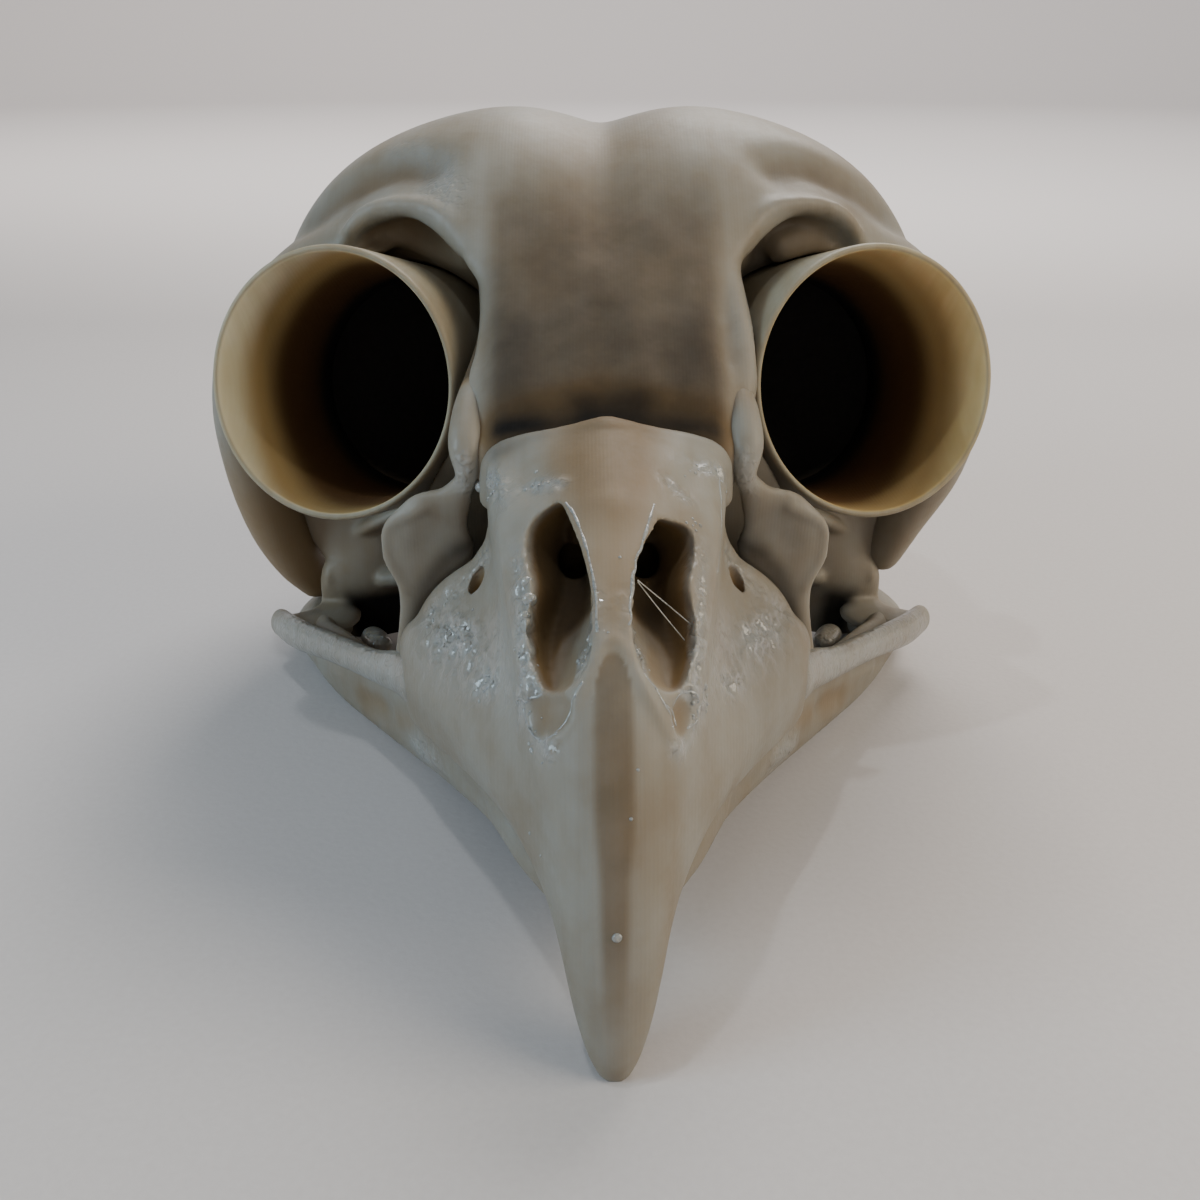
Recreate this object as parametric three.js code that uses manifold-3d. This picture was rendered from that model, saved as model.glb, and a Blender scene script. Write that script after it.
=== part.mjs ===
// An owl's skull with its jaw closed and its bony eye tubes in place, at life size.
// Millimetres, +Z up. The bill points along -Y, and the skull stands on the bill's tip and the back of the lower jaw.
// Points are written as [across, back, up]: across is measured from the middle plane, back from the bill's
// foremost point, and up from the table. The group at the end moves the whole so that its middle is at the origin.
import * as THREE from "three";
import { LoftGeometry } from "three/addons/geometries/LoftGeometry.js";
import { mergeVertices } from "three/addons/utils/BufferGeometryUtils.js";
import Module from "manifold-3d";

const wasm = await Module();
wasm.setup();

// ---- driving sizes ----
const skullLength = 95; // foremost point of the bill to the back of the head
const crown = 54; // highest point above the table
const seam = 0.3; // gap that parts one bone from the next
const sliver = 0.03; // edges shorter than this are welded away at the end
const big = 200; // a box of this size reaches past everything

// Eye tubes: a slightly tapered tube on each side, looking outwards and a little up.
const eye = {
  front: [22.6, 42, 33.7], // middle of the front rim
  outward: THREE.MathUtils.degToRad(19),
  upward: THREE.MathUtils.degToRad(14),
  rimRadius: 11.2,
  backRadius: 10.8,
  wall: 1.0,
  depth: 18,
};

// Orbits: the hollows in which the tubes sit.
const orbit = { middle: [24.5, 46, 31.5], radii: [20.4, 15.4, 14.6] };

const boneColour = 0xa59c88;
const tubeColour = 0x9c8658;

// ---- solids from three.js geometry ----
// A solid from a closed geometry. Points nearer to each other than weld become one, and slivers go.
function solid(geometry, weld = 1e-4) {
  const plain = new THREE.BufferGeometry()
    .setAttribute("position", geometry.getAttribute("position"))
    .setIndex(geometry.index);
  const merged = mergeVertices(plain, weld);
  const corners = merged.index.array;
  const kept = [];
  for (let i = 0; i < corners.length; i += 3) {
    const [a, b, c] = corners.slice(i, i + 3);
    if (a !== b && b !== c && c !== a) kept.push(a, b, c);
  }
  return new wasm.Manifold(
    new wasm.Mesh({
      numProp: 3,
      vertProperties: merged.attributes.position.array,
      triVerts: new Uint32Array(kept),
    }),
  );
}

function geometryOf(form) {
  const { numProp, vertProperties, triVerts } = form.getMesh();
  const positions = Float32Array.from(
    { length: (vertProperties.length / numProp) * 3 },
    (_, i) => vertProperties[Math.floor(i / 3) * numProp + (i % 3)],
  );
  return new THREE.BufferGeometry()
    .setAttribute("position", new THREE.BufferAttribute(positions, 3))
    .setIndex(new THREE.BufferAttribute(triVerts, 1));
}

function joined(...solids) {
  return solids.reduce((whole, piece) => whole.add(piece));
}

// The largest of the pieces that a cut leaves.
function mainBody(cut) {
  return cut.decompose().reduce((a, b) => (a.volume() > b.volume() ? a : b));
}

// side is 1 on the skull's left, at +X, and -1 on its right.
const across = ([x, y, z], side) => [x * side, y, z];

function ball(middle, radii, grow = 0) {
  const fine = Math.max(...radii) > 8;
  const geometry = new THREE.SphereGeometry(1, fine ? 18 : 10, fine ? 12 : 7)
    .scale(radii[0] + grow, radii[1] + grow, radii[2] + grow)
    .translate(...middle);
  return solid(geometry);
}

// A bone that runs along a curve. Each point is [across, back, up, breadth, thickness], the last two as radii,
// and facing is the direction in which the thickness is measured. The ends are rounded.
function limb(points, facing, side = 1, grow = 0, steps = 10, sides = 8) {
  const curve = new THREE.CatmullRomCurve3(
    points.map((p) => new THREE.Vector3(p[0] * side, p[1], p[2])),
  );
  const breadths = new THREE.CatmullRomCurve3(
    points.map((p) => new THREE.Vector3(p[3] + grow, p[4] + grow, 0)),
  );
  const normal = new THREE.Vector3(...across(facing, side));
  const sections = [];
  const ring = (t, shrink, push) => {
    const middle = curve.getPoint(t);
    const along = curve.getTangent(t);
    const size = breadths.getPoint(t);
    const thin = normal.clone().addScaledVector(along, -normal.dot(along)).normalize();
    const broad = new THREE.Vector3().crossVectors(thin, along);
    middle.addScaledVector(along, push * Math.min(size.x, size.y));
    sections.push(
      Array.from({ length: sides }, (_, k) => {
        const a = (k / sides) * 2 * Math.PI;
        return middle
          .clone()
          .addScaledVector(broad, Math.cos(a) * size.x * shrink)
          .addScaledVector(thin, Math.sin(a) * size.y * shrink);
      }),
    );
  };
  ring(0, 0.5, -0.7);
  for (let i = 0; i <= steps; i += 1) ring(i / steps, 1, 0);
  ring(1, 0.5, 0.7);
  return solid(new LoftGeometry(sections, { capStart: true, capEnd: true }));
}

// Smooth value of one field of a list of stations at a distance back.
function at(stations, field, back) {
  const last = stations.length - 1;
  let i = 0;
  while (i < last - 1 && stations[i + 1].back < back) i += 1;
  const [p, a, b, q] = [Math.max(i - 1, 0), i, i + 1, Math.min(i + 2, last)].map((k) => stations[k]);
  const span = b.back - a.back;
  const t = Math.min(Math.max((back - a.back) / span, 0), 1);
  const slopeA = ((b[field] - p[field]) / (b.back - p.back)) * span;
  const slopeB = ((q[field] - a[field]) / (q.back - a.back)) * span;
  const [t2, t3] = [t * t, t * t * t];
  return (
    (2 * t3 - 3 * t2 + 1) * a[field] +
    (t3 - 2 * t2 + t) * slopeA +
    (3 * t2 - 2 * t3) * b[field] +
    (t3 - t2) * slopeB
  );
}

// ---- cranium: forehead, crown and occiput as one form ----
// half is the half width at the height wide; top and base are the heights of the roof and the underside.
const vault = [
  { back: 31.6, half: 9.2, top: 33.4, wide: 30, base: 25, groove: 0 },
  { back: 33, half: 10.4, top: 35.6, wide: 30, base: 22, groove: 0 },
  { back: 36.5, half: 10.4, top: 39, wide: 33, base: 20, groove: 0.3 },
  { back: 40, half: 9.9, top: 42, wide: 36, base: 18.5, groove: 0.5 },
  { back: 44, half: 11.4, top: 45.2, wide: 39, base: 17.5, groove: 0.7 },
  { back: 48, half: 17.2, top: 48.2, wide: 38, base: 17, groove: 0.9 },
  { back: 52, half: 24.4, top: 51.2, wide: 34, base: 15.5, groove: 1.1 },
  { back: 57, half: 29.6, top: 53.4, wide: 30, base: 13, groove: 1.3 },
  { back: 64, half: 31, top: crown, wide: 28, base: 11.5, groove: 1.3 },
  { back: 73, half: 30.4, top: 52.2, wide: 27, base: 10.5, groove: 1.2 },
  { back: 82, half: 26.6, top: 47.4, wide: 26.5, base: 11, groove: 0.8 },
  { back: 89, half: 20, top: 40.4, wide: 26, base: 12.5, groove: 0.4 },
  { back: 93.4, half: 11.5, top: 33.4, wide: 25, base: 16.5, groove: 0 },
  { back: skullLength, half: 4.5, top: 28, wide: 24.5, base: 21, groove: 0 },
];
const vaultSteps = 18;
const vaultSides = 28;
const roundness = { top: 2.7, base: 2.1 };
const grooveWidth = 5;

function vaultSection(back, grow) {
  const half = at(vault, "half", back) + grow;
  const top = at(vault, "top", back) + grow;
  const base = at(vault, "base", back) - grow;
  const wide = at(vault, "wide", back);
  const groove = at(vault, "groove", back);
  return Array.from({ length: vaultSides }, (_, k) => {
    const a = (k / vaultSides) * 2 * Math.PI;
    const [c, s] = [-Math.cos(a), Math.sin(a)];
    const power = 2 / (s > 0 ? roundness.top : roundness.base);
    const x = half * Math.sign(c) * Math.abs(c) ** power;
    const rise = (s > 0 ? top - wide : base - wide) * Math.abs(s) ** power;
    const dip = s > 0 ? groove * Math.exp(-((x / grooveWidth) ** 2)) : 0;
    return new THREE.Vector3(x, back, wide + rise - dip);
  });
}

function vaultForm(grow = 0) {
  const first = vault[0].back;
  const sections = [];
  for (let i = 0; i <= vaultSteps; i += 1) {
    const share = i / vaultSteps;
    const eased = 0.35 * share + 0.65 * (1 - Math.cos(share * Math.PI)) * 0.5; // closer steps at both ends
    sections.push(vaultSection(first + (skullLength - first) * eased, grow));
  }
  return solid(new LoftGeometry(sections, { capStart: true, capEnd: true }));
}

// ---- eye tubes ----
function eyePlace(side) {
  const axis = new THREE.Vector3(
    side * Math.sin(eye.outward) * Math.cos(eye.upward),
    -Math.cos(eye.outward) * Math.cos(eye.upward),
    Math.sin(eye.upward),
  );
  const turn = new THREE.Quaternion().setFromUnitVectors(new THREE.Vector3(0, 1, 0), axis);
  return new THREE.Matrix4().compose(
    new THREE.Vector3(...across(eye.front, side)),
    turn,
    new THREE.Vector3(1, 1, 1),
  );
}

function turned(profile, side, sides) {
  const points = profile.map(([radius, along]) => new THREE.Vector2(radius, along));
  return solid(new THREE.LatheGeometry(points, sides).applyMatrix4(eyePlace(side)));
}

function eyeTube(side) {
  const { rimRadius: rim, backRadius: back, wall, depth } = eye;
  return turned(
    [
      [back - wall, -depth],
      [back, -depth],
      [rim, -1.2],
      [rim - 0.35, 0],
      [rim - wall, -0.4],
      [back - wall, -depth],
    ],
    side,
    32,
  );
}

// The room that a tube takes up, filled and with the seam around it.
function eyeRoom(side) {
  return turned(
    [
      [0, -eye.depth - seam],
      [eye.backRadius + seam, -eye.depth - seam],
      [eye.rimRadius + seam, -1],
      [eye.rimRadius + seam, 6],
      [0, 6],
    ],
    side,
    24,
  );
}

// ---- bill ----
// Each station runs from the culmen, on top, down to the cutting edge. shoulder is the half width of the upper
// part and edge the half width at the cutting edge, and reach is how far down, as a share, the shoulder is full.
const bill = [
  { culmen: [0.7, -0.9], under: [2, -1.0], shoulder: 1.3, edge: 1.4, reach: 0.5, arch: 0 },
  { culmen: [0.2, 1.4], under: [3, 1.0], shoulder: 2, edge: 2.1, reach: 0.5, arch: 0 },
  { culmen: [0, 4], under: [4.4, 3.2], shoulder: 2.6, edge: 2.7, reach: 0.5, arch: 0 },
  { culmen: [0.3, 8], under: [6.4, 6.2], shoulder: 3.2, edge: 3.5, reach: 0.5, arch: 0.3 },
  { culmen: [1.3, 12], under: [8.8, 8.2], shoulder: 3.6, edge: 4.5, reach: 0.5, arch: 0.8 },
  { culmen: [3.1, 16.4], under: [11.4, 9.6], shoulder: 4.3, edge: 5.9, reach: 0.5, arch: 1.2 },
  { culmen: [5.4, 20.4], under: [14.6, 10], shoulder: 5.2, edge: 7.5, reach: 0.45, arch: 1.5 },
  { culmen: [8.6, 24.2], under: [18.2, 9.8], shoulder: 6, edge: 9.3, reach: 0.4, arch: 1.8 },
  { culmen: [13, 27.6], under: [22, 9.4], shoulder: 6.8, edge: 11.4, reach: 0.34, arch: 2 },
  { culmen: [18.5, 30.3], under: [26, 9], shoulder: 7.6, edge: 13.8, reach: 0.28, arch: 2.2 },
  { culmen: [24.4, 32.2], under: [30, 8.8], shoulder: 8.4, edge: 16, reach: 0.22, arch: 2.2 },
  { culmen: [30.4, 33.4], under: [34, 9], shoulder: 9.2, edge: 17, reach: 0.17, arch: 2.2 },
];
const billSides = 9; // points down each side
const billUnder = 5; // points across the palate

function billSection(station, grow) {
  const { culmen, under, shoulder, edge, reach, arch } = station;
  const top = new THREE.Vector3(0, ...culmen);
  const low = new THREE.Vector3(0, ...under);
  const down = low.clone().sub(top).normalize();
  top.addScaledVector(down, -grow);
  low.addScaledVector(down, grow);
  const width = (share) => {
    const rise = Math.min(share / reach, 1);
    const flare = THREE.MathUtils.smoothstep(share, 0.3, 0.85);
    return shoulder * Math.sqrt(1 - (1 - rise) ** 2) + (edge - shoulder) * flare + grow * Math.sqrt(rise);
  };
  const left = [];
  for (let k = 0; k <= billSides; k += 1) {
    const share = (k / billSides) ** 1.5;
    left.push(top.clone().lerp(low, share).setX(width(share)));
  }
  const palate = [];
  for (let k = 1; k < billUnder; k += 1) {
    const x = 1 - (2 * k) / billUnder;
    const lift = arch * (1 - x * x);
    palate.push(low.clone().addScaledVector(down, -lift).setX(x * width(1)));
  }
  const right = left.slice(1).reverse().map((p) => p.clone().setX(-p.x));
  return [...left, ...palate, ...right];
}

function billForm(grow = 0) {
  const sections = bill.map((station) => billSection(station, grow));
  return solid(new LoftGeometry(sections, { capStart: true, capEnd: true }));
}

// Nostril: a long slot beside the culmen, seen from the front.
const nostril = [
  [3.4, 23, 29.4, 5, 1.9],
  [3.8, 19.4, 25.6, 5.6, 2.4],
  [3.6, 15.6, 22, 5.6, 2.2],
  [3, 10.6, 17, 4, 1.5],
];
const nasalRoom = { middle: [0, 22, 23.5], radii: [4.6, 5.6, 5] };

// Cheek: the swollen hind part of the upper jaw, where the jugal bar starts.
const cheekPath = [
  [7, 19, 13.4, 2.6, 2],
  [10.6, 26, 14, 3.8, 2.8],
  [13.2, 31.4, 14, 4, 3.2],
  [14.6, 34.2, 13.4, 3, 2.6],
];

// ---- side bones ----
const lacrimalPath = [
  [11.2, 32.6, 31.6, 2.2, 1.6],
  [12.2, 33.2, 29.4, 2.4, 1.5],
  [13.8, 34.4, 25.4, 4.2, 1.1],
  [15, 35.4, 22, 4.9, 0.9],
  [15.6, 36, 18.4, 3.6, 1],
  [16.4, 36.4, 14.6, 1.6, 1],
];
const jugalPath = [
  [16.8, 33.4, 11, 1.9, 1.2],
  [20.2, 38.4, 9.6, 1.5, 1],
  [25.2, 45.4, 7.8, 1.45, 0.95],
  [30, 52, 6.3, 1.6, 1.1],
  [33, 56.4, 5.8, 1.8, 1.4],
];
const postorbitalPath = [
  [19, 53.4, 45, 3.2, 2.2],
  [27, 55.6, 40.4, 3.8, 2.2],
  [32.4, 57.6, 34.6, 4.4, 2.6],
  [33.8, 59.2, 28, 4.8, 3],
  [33.6, 60.4, 21, 4.6, 2.8],
  [32, 60.8, 14, 3.2, 1.7],
  [30.4, 60.8, 10.6, 1.7, 1.1],
];
const earWingPath = [
  [28, 70.5, 34, 3.6, 1.6],
  [31.4, 71.6, 27, 4.4, 1.4],
  [31.6, 73, 20.6, 4.4, 1.3],
  [28, 74.6, 13.8, 3.6, 1.3],
  [23.6, 75.6, 10.2, 2.2, 1.4],
];
const browRidgePath = [
  [9.4, 36.6, 36.6, 1.5, 1.2],
  [10.4, 41.6, 40.8, 1.6, 1.2],
  [14, 46.6, 43.8, 1.8, 1.2],
  [18.6, 50.4, 45, 1.9, 1.1],
  [23, 53.4, 43.6, 1.5, 1],
];
const foramen = { middle: [0, 90, 17], radii: [3.5, 6, 3.3] };
const condyle = { middle: [0, 88, 12.4], radii: [3, 2.6, 2.2] };
const quadratePath = [
  [25, 64.6, 17.6, 2.6, 2.2],
  [25, 62.6, 12.8, 2, 1.7],
  [26.6, 60.4, 8.8, 3.2, 2.2],
  [27.6, 59.6, 7.2, 3.6, 2],
];
const quadrateProng = [
  [25, 62, 12.8, 1.6, 1],
  [21.4, 59.4, 15.4, 1.7, 0.8],
  [18.6, 57.6, 17.2, 1, 0.7],
];
const quadrateKnob = { middle: [31, 59, 6.4], radii: [2.6, 2.2, 1.8] };
const pterygoidPath = [
  [4.2, 54.6, 12.4, 1.5, 1],
  [12, 57.2, 10.6, 1.3, 1],
  [22.2, 60, 8.6, 1.6, 1.1],
];
const palatinePath = [
  [4.8, 28.6, 12, 1.8, 0.8],
  [6.2, 36, 11.6, 2.2, 0.7],
  [8, 43, 11.2, 4.2, 0.7],
  [7.6, 49, 11.6, 4, 0.7],
  [4.4, 53.8, 12.4, 1.6, 0.8],
];
const rostrumPath = [
  [0, 31, 16, 1.2, 1.5],
  [0, 44, 14.8, 1.4, 1.9],
  [0, 60, 13.6, 2.6, 2.6],
];

// Lower jaw: half of it, from the joint under the quadrate to the middle of the tip.
const jawPath = [
  [28.4, 68, 2.2, 2.3, 2.9],
  [29.4, 61.4, 2.5, 2.6, 3],
  [27.9, 55, 3, 3, 1.7],
  [24.4, 48.4, 3.9, 3.8, 1.15],
  [18.2, 39.4, 4.7, 3.9, 1.05],
  [12.8, 31, 5.4, 3.4, 1.1],
  [8.4, 22.6, 6.2, 2.5, 1.3],
  [5, 15, 6.6, 1.9, 1.7],
  [1.9, 10.6, 6.4, 1.5, 2],
  [0, 9.6, 6.3, 1.4, 2],
];

const outwards = [1, 0, 0];
const forwards = [0, 1, 0];
const upwards = [0, 0, 1];
const both = [1, -1];
const sideName = (side) => (side > 0 ? "left" : "right");

// ---- bones ----
const lacrimal = (side, grow) => limb(lacrimalPath, forwards, side, grow);
const jugal = (side, grow) => limb(jugalPath, outwards, side, grow);
const pterygoid = (side, grow) => limb(pterygoidPath, upwards, side, grow, 8, 8);
const palatine = (side, grow) => limb(palatinePath, upwards, side, grow);
const rostrum = (grow) => limb(rostrumPath, outwards, 1, grow, 6);

function quadrate(side, grow) {
  return joined(
    limb(quadratePath, forwards, side, grow, 6),
    limb(quadrateProng, upwards, side, grow, 5, 8),
    ball(across(quadrateKnob.middle, side), quadrateKnob.radii, grow), // for the jugal bar
  );
}

// A block that fills everything above, beside or behind a plane.
function halfSpace(normal, distance) {
  const turn = new THREE.Quaternion().setFromUnitVectors(
    new THREE.Vector3(0, 0, 1),
    new THREE.Vector3(...normal).normalize(),
  );
  return solid(
    new THREE.BoxGeometry(big, big, big).translate(0, 0, big / 2 + distance).applyQuaternion(turn),
  );
}

function jawHalf(side, grow) {
  return limb(jawPath, outwards, side, grow, 16)
    .intersect(halfSpace([side, 0, 0], seam / 2 - grow))
    .intersect(halfSpace(upwards, 0));
}

function upperBill(grow) {
  let whole = joined(billForm(grow), ...both.map((side) => limb(cheekPath, outwards, side, grow, 8)));
  if (grow === 0) {
    const nostrils = both.map((side) => limb(nostril, outwards, side, 0, 6, 10));
    whole = whole.subtract(joined(ball(nasalRoom.middle, nasalRoom.radii), ...nostrils));
  }
  return whole.intersect(halfSpace(upwards, 0));
}

function cranium(grow) {
  const processes = both.flatMap((side) => [
    limb(browRidgePath, upwards, side, grow, 8, 7),
    limb(postorbitalPath, outwards, side, grow),
    limb(earWingPath, outwards, side, grow),
  ]);
  const hollows = both.map((side) => ball(across(orbit.middle, side), orbit.radii));
  const whole = joined(vaultForm(grow), ball(condyle.middle, condyle.radii, grow))
    .subtract(joined(ball(foramen.middle, foramen.radii), ...hollows));
  return joined(whole, ...processes).subtract(joined(...both.map(eyeRoom)));
}

// The cranium is parted where the forehead ends, along a plane that leans forwards.
const browPlane = [0, 1, 0.36];
const browDistance = 70;
const behindBrow = (grow) => halfSpace(browPlane, browDistance - grow);

// In this order: each bone is cut clear of all those before it. form gives it with so much added all round.
const bones = [
  ...both.flatMap((side) => [
    { name: "eye_tube_" + sideName(side), form: (grow) => (grow > 0 ? eyeRoom(side) : eyeTube(side)) },
    { name: "lacrimal_" + sideName(side), form: (grow) => lacrimal(side, grow) },
    { name: "quadrate_" + sideName(side), form: (grow) => quadrate(side, grow) },
    { name: "jaw_" + sideName(side), form: (grow) => jawHalf(side, grow) },
    { name: "jugal_" + sideName(side), form: (grow) => jugal(side, grow) },
    { name: "pterygoid_" + sideName(side), form: (grow) => pterygoid(side, grow) },
    { name: "palatine_" + sideName(side), form: (grow) => palatine(side, grow) },
  ]),
  { name: "rostrum", form: rostrum },
  { name: "bill", form: upperBill },
  { name: "braincase", form: (grow) => (grow > 0 ? behindBrow(grow) : cranium(0).intersect(behindBrow(0))) },
  { name: "forehead", form: cranium },
];

const pieces = new Map();
let taken = null;
for (const { name, form } of bones) {
  const clear = taken ? form(0).subtract(taken) : form(0);
  pieces.set(name, mainBody(clear));
  taken = taken ? taken.add(form(seam)) : form(seam);
}

// ---- the scene graph ----
function meshOf(name, form) {
  const geometry = geometryOf(solid(geometryOf(form), sliver));
  geometry.computeVertexNormals();
  const color = name.startsWith("eye_tube") ? tubeColour : boneColour;
  const mesh = new THREE.Mesh(
    geometry,
    new THREE.MeshStandardMaterial({ color, roughness: 0.5, metalness: 0 }),
  );
  mesh.name = name;
  return mesh;
}

const skull = new THREE.Group();
for (const [name, form] of pieces) skull.add(meshOf(name, form));
skull.position.set(0, -skullLength / 2, 0);

export default skull;
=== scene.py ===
"""A life-size printed plastic replica of a large owl's skull, dressed over its solid frame.

Points are skull millimetres, [across, back, up]: across from the skull's middle plane, back from the
bill's foremost point, and up from the table. The bench turns them into the frame's metres.
"""

from __future__ import annotations

import logging
import math
from collections.abc import Sequence
from dataclasses import dataclass
from enum import Enum

import bpy
import numpy as np
from mathutils import Euler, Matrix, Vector, noise
from mathutils.bvhtree import BVHTree

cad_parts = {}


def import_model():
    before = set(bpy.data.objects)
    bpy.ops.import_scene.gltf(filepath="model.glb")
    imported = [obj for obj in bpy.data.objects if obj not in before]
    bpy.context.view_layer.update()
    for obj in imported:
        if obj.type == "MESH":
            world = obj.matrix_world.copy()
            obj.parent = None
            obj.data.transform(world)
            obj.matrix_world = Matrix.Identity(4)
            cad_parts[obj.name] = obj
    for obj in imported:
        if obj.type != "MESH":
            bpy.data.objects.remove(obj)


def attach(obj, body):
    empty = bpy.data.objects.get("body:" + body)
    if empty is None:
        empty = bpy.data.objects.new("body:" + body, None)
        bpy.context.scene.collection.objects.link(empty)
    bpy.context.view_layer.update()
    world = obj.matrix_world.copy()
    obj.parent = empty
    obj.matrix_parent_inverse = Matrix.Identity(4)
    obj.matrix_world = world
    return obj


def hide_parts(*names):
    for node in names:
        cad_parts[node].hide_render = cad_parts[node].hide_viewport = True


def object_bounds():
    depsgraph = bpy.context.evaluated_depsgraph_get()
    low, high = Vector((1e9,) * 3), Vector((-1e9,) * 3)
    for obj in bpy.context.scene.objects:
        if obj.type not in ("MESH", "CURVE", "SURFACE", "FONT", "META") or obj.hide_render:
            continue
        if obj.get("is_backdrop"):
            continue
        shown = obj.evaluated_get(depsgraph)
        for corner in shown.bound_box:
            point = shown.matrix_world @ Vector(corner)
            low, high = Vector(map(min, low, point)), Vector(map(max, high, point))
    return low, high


LOG = logging.getLogger("owl_skull")
Point = tuple[float, float, float]
Station = tuple[float, ...]
MM = 0.001
ACROSS: Point = (1, 0, 0)
BACK: Point = (0, 1, 0)
UP: Point = (0, 0, 1)
BONE_SLOT = "bone_plastic"
LIMB_SIDES = 28
LIMB_THINNEST = 0.04  # the least radius of a rod
LEAST_SHARE = 0.05  # below these a vertex is left as it is, smoothed or lumped
LEAST_PAINT = 0.04


class Side(Enum):
    """The skull's own left, at +X, and right."""

    LEFT = 1
    RIGHT = -1

    @property
    def word(self) -> str:
        """The side as it ends a node's name."""
        return self.name.lower()

    def of(self, point: Sequence[float]) -> list[float]:
        """A point given for the left side, on this side."""
        return [point[0] * self.value, *point[1:]]


class Touch(Enum):
    """What a painted attribute means."""

    SHADE = "shade"  # painted shade: dark in hollows, creases, nostrils and the backs of the orbits, where little light reaches
    GLOW_AND_WARMTH = "glow_and_warmth"  # painted glow: amber where light shining through thin plastic is painted in, with a warmer tone elsewhere
    WET = "wet"  # glossy and lumpy where the print was melted smooth, with a paler, bluer painted sheen


def smooth_line(points: Sequence[Sequence[float]], count: int) -> np.ndarray:
    """Samples a smooth curve through points of any dimension.

    Args:
        points: the places that the curve passes.
        count: how many samples to take.

    Returns:
        One row for each sample.
    """
    rows = np.asarray(points, float)
    padded = np.vstack([2 * rows[0] - rows[1], rows, 2 * rows[-1] - rows[-2]])
    t = np.linspace(0, len(rows) - 1, count)
    i = np.minimum(t.astype(int), len(rows) - 2)
    u = (t - i)[:, None]
    a, b, c, d = (padded[i + k] for k in range(4))
    cubic = (2 * a - 5 * b + 4 * c - d) * u**2 + (3 * b - a - 3 * c + d) * u**3
    return 0.5 * (2 * b + (c - a) * u + cubic)


def eased(value: np.ndarray | float, low: float, high: float) -> np.ndarray | float:
    """A smooth step from 0 at low to 1 at high."""
    t = np.clip((value - low) / (high - low), 0, 1)
    return t * t * (3 - 2 * t)


def bent(rows: np.ndarray, back: np.ndarray) -> np.ndarray:
    """Reads a table of stations, whose first column is the distance back, at other distances.

    Args:
        rows: the stations, in order.
        back: the distances to read at.

    Returns:
        One row for each distance, without the first column.
    """
    at = rows[:, 0]
    i = np.clip(np.searchsorted(at, back) - 1, 0, len(at) - 2)
    before, after = np.maximum(i - 1, 0), np.minimum(i + 2, len(at) - 1)
    span = (at[i + 1] - at[i])[:, None]
    t = np.clip((back - at[i])[:, None] / span, 0, 1)
    slope_a = (rows[i + 1] - rows[before]) / (at[i + 1] - at[before])[:, None] * span
    slope_b = (rows[after] - rows[i]) / (at[after] - at[i])[:, None] * span
    value = (2 * t**3 - 3 * t**2 + 1) * rows[i] + (t**3 - 2 * t**2 + t) * slope_a
    return (value + (3 * t**2 - 2 * t**3) * rows[i + 1] + (t**3 - t**2) * slope_b)[:, 1:]


@dataclass(frozen=True)
class Stroke:
    """One pull of a modelling tool along a line, or one stroke of paint.

    A positive amount raises the surface, or adds paint. A mirrored stroke is made on both sides.
    """

    path: tuple[Point, ...]
    radius: float  # where its weight has fallen to 1/e
    amount: float
    mirrored: bool = True

    def weight(self, points: np.ndarray) -> np.ndarray:
        """How much of the stroke each of the points gets, from 0 to 1."""
        total = np.zeros(len(points))
        for side in (1, -1) if self.mirrored else (1,):
            line = np.asarray(self.path, float) * (side, 1, 1)
            if len(line) > 1:
                line = smooth_line(line, 6 * len(line))
            reach = 2.6 * self.radius  # beyond it the weight is next to nothing
            low, high = line.min(0) - reach, line.max(0) + reach
            near = np.all((points > low) & (points < high), axis=1)
            here = points[near]
            if not len(here):
                continue
            squared = np.full(len(here), np.inf)
            starts, ends = (line[:-1], line[1:]) if len(line) > 1 else (line, line + 1e-6)
            for start, end in zip(starts, ends):
                along = end - start
                t = np.clip((here - start) @ along / max(along @ along, 1e-12), 0, 1)
                squared = np.minimum(squared, ((here - start - t[:, None] * along) ** 2).sum(1))
            total[near] = np.maximum(total[near], np.exp(-squared / self.radius**2))
        return total


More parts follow.
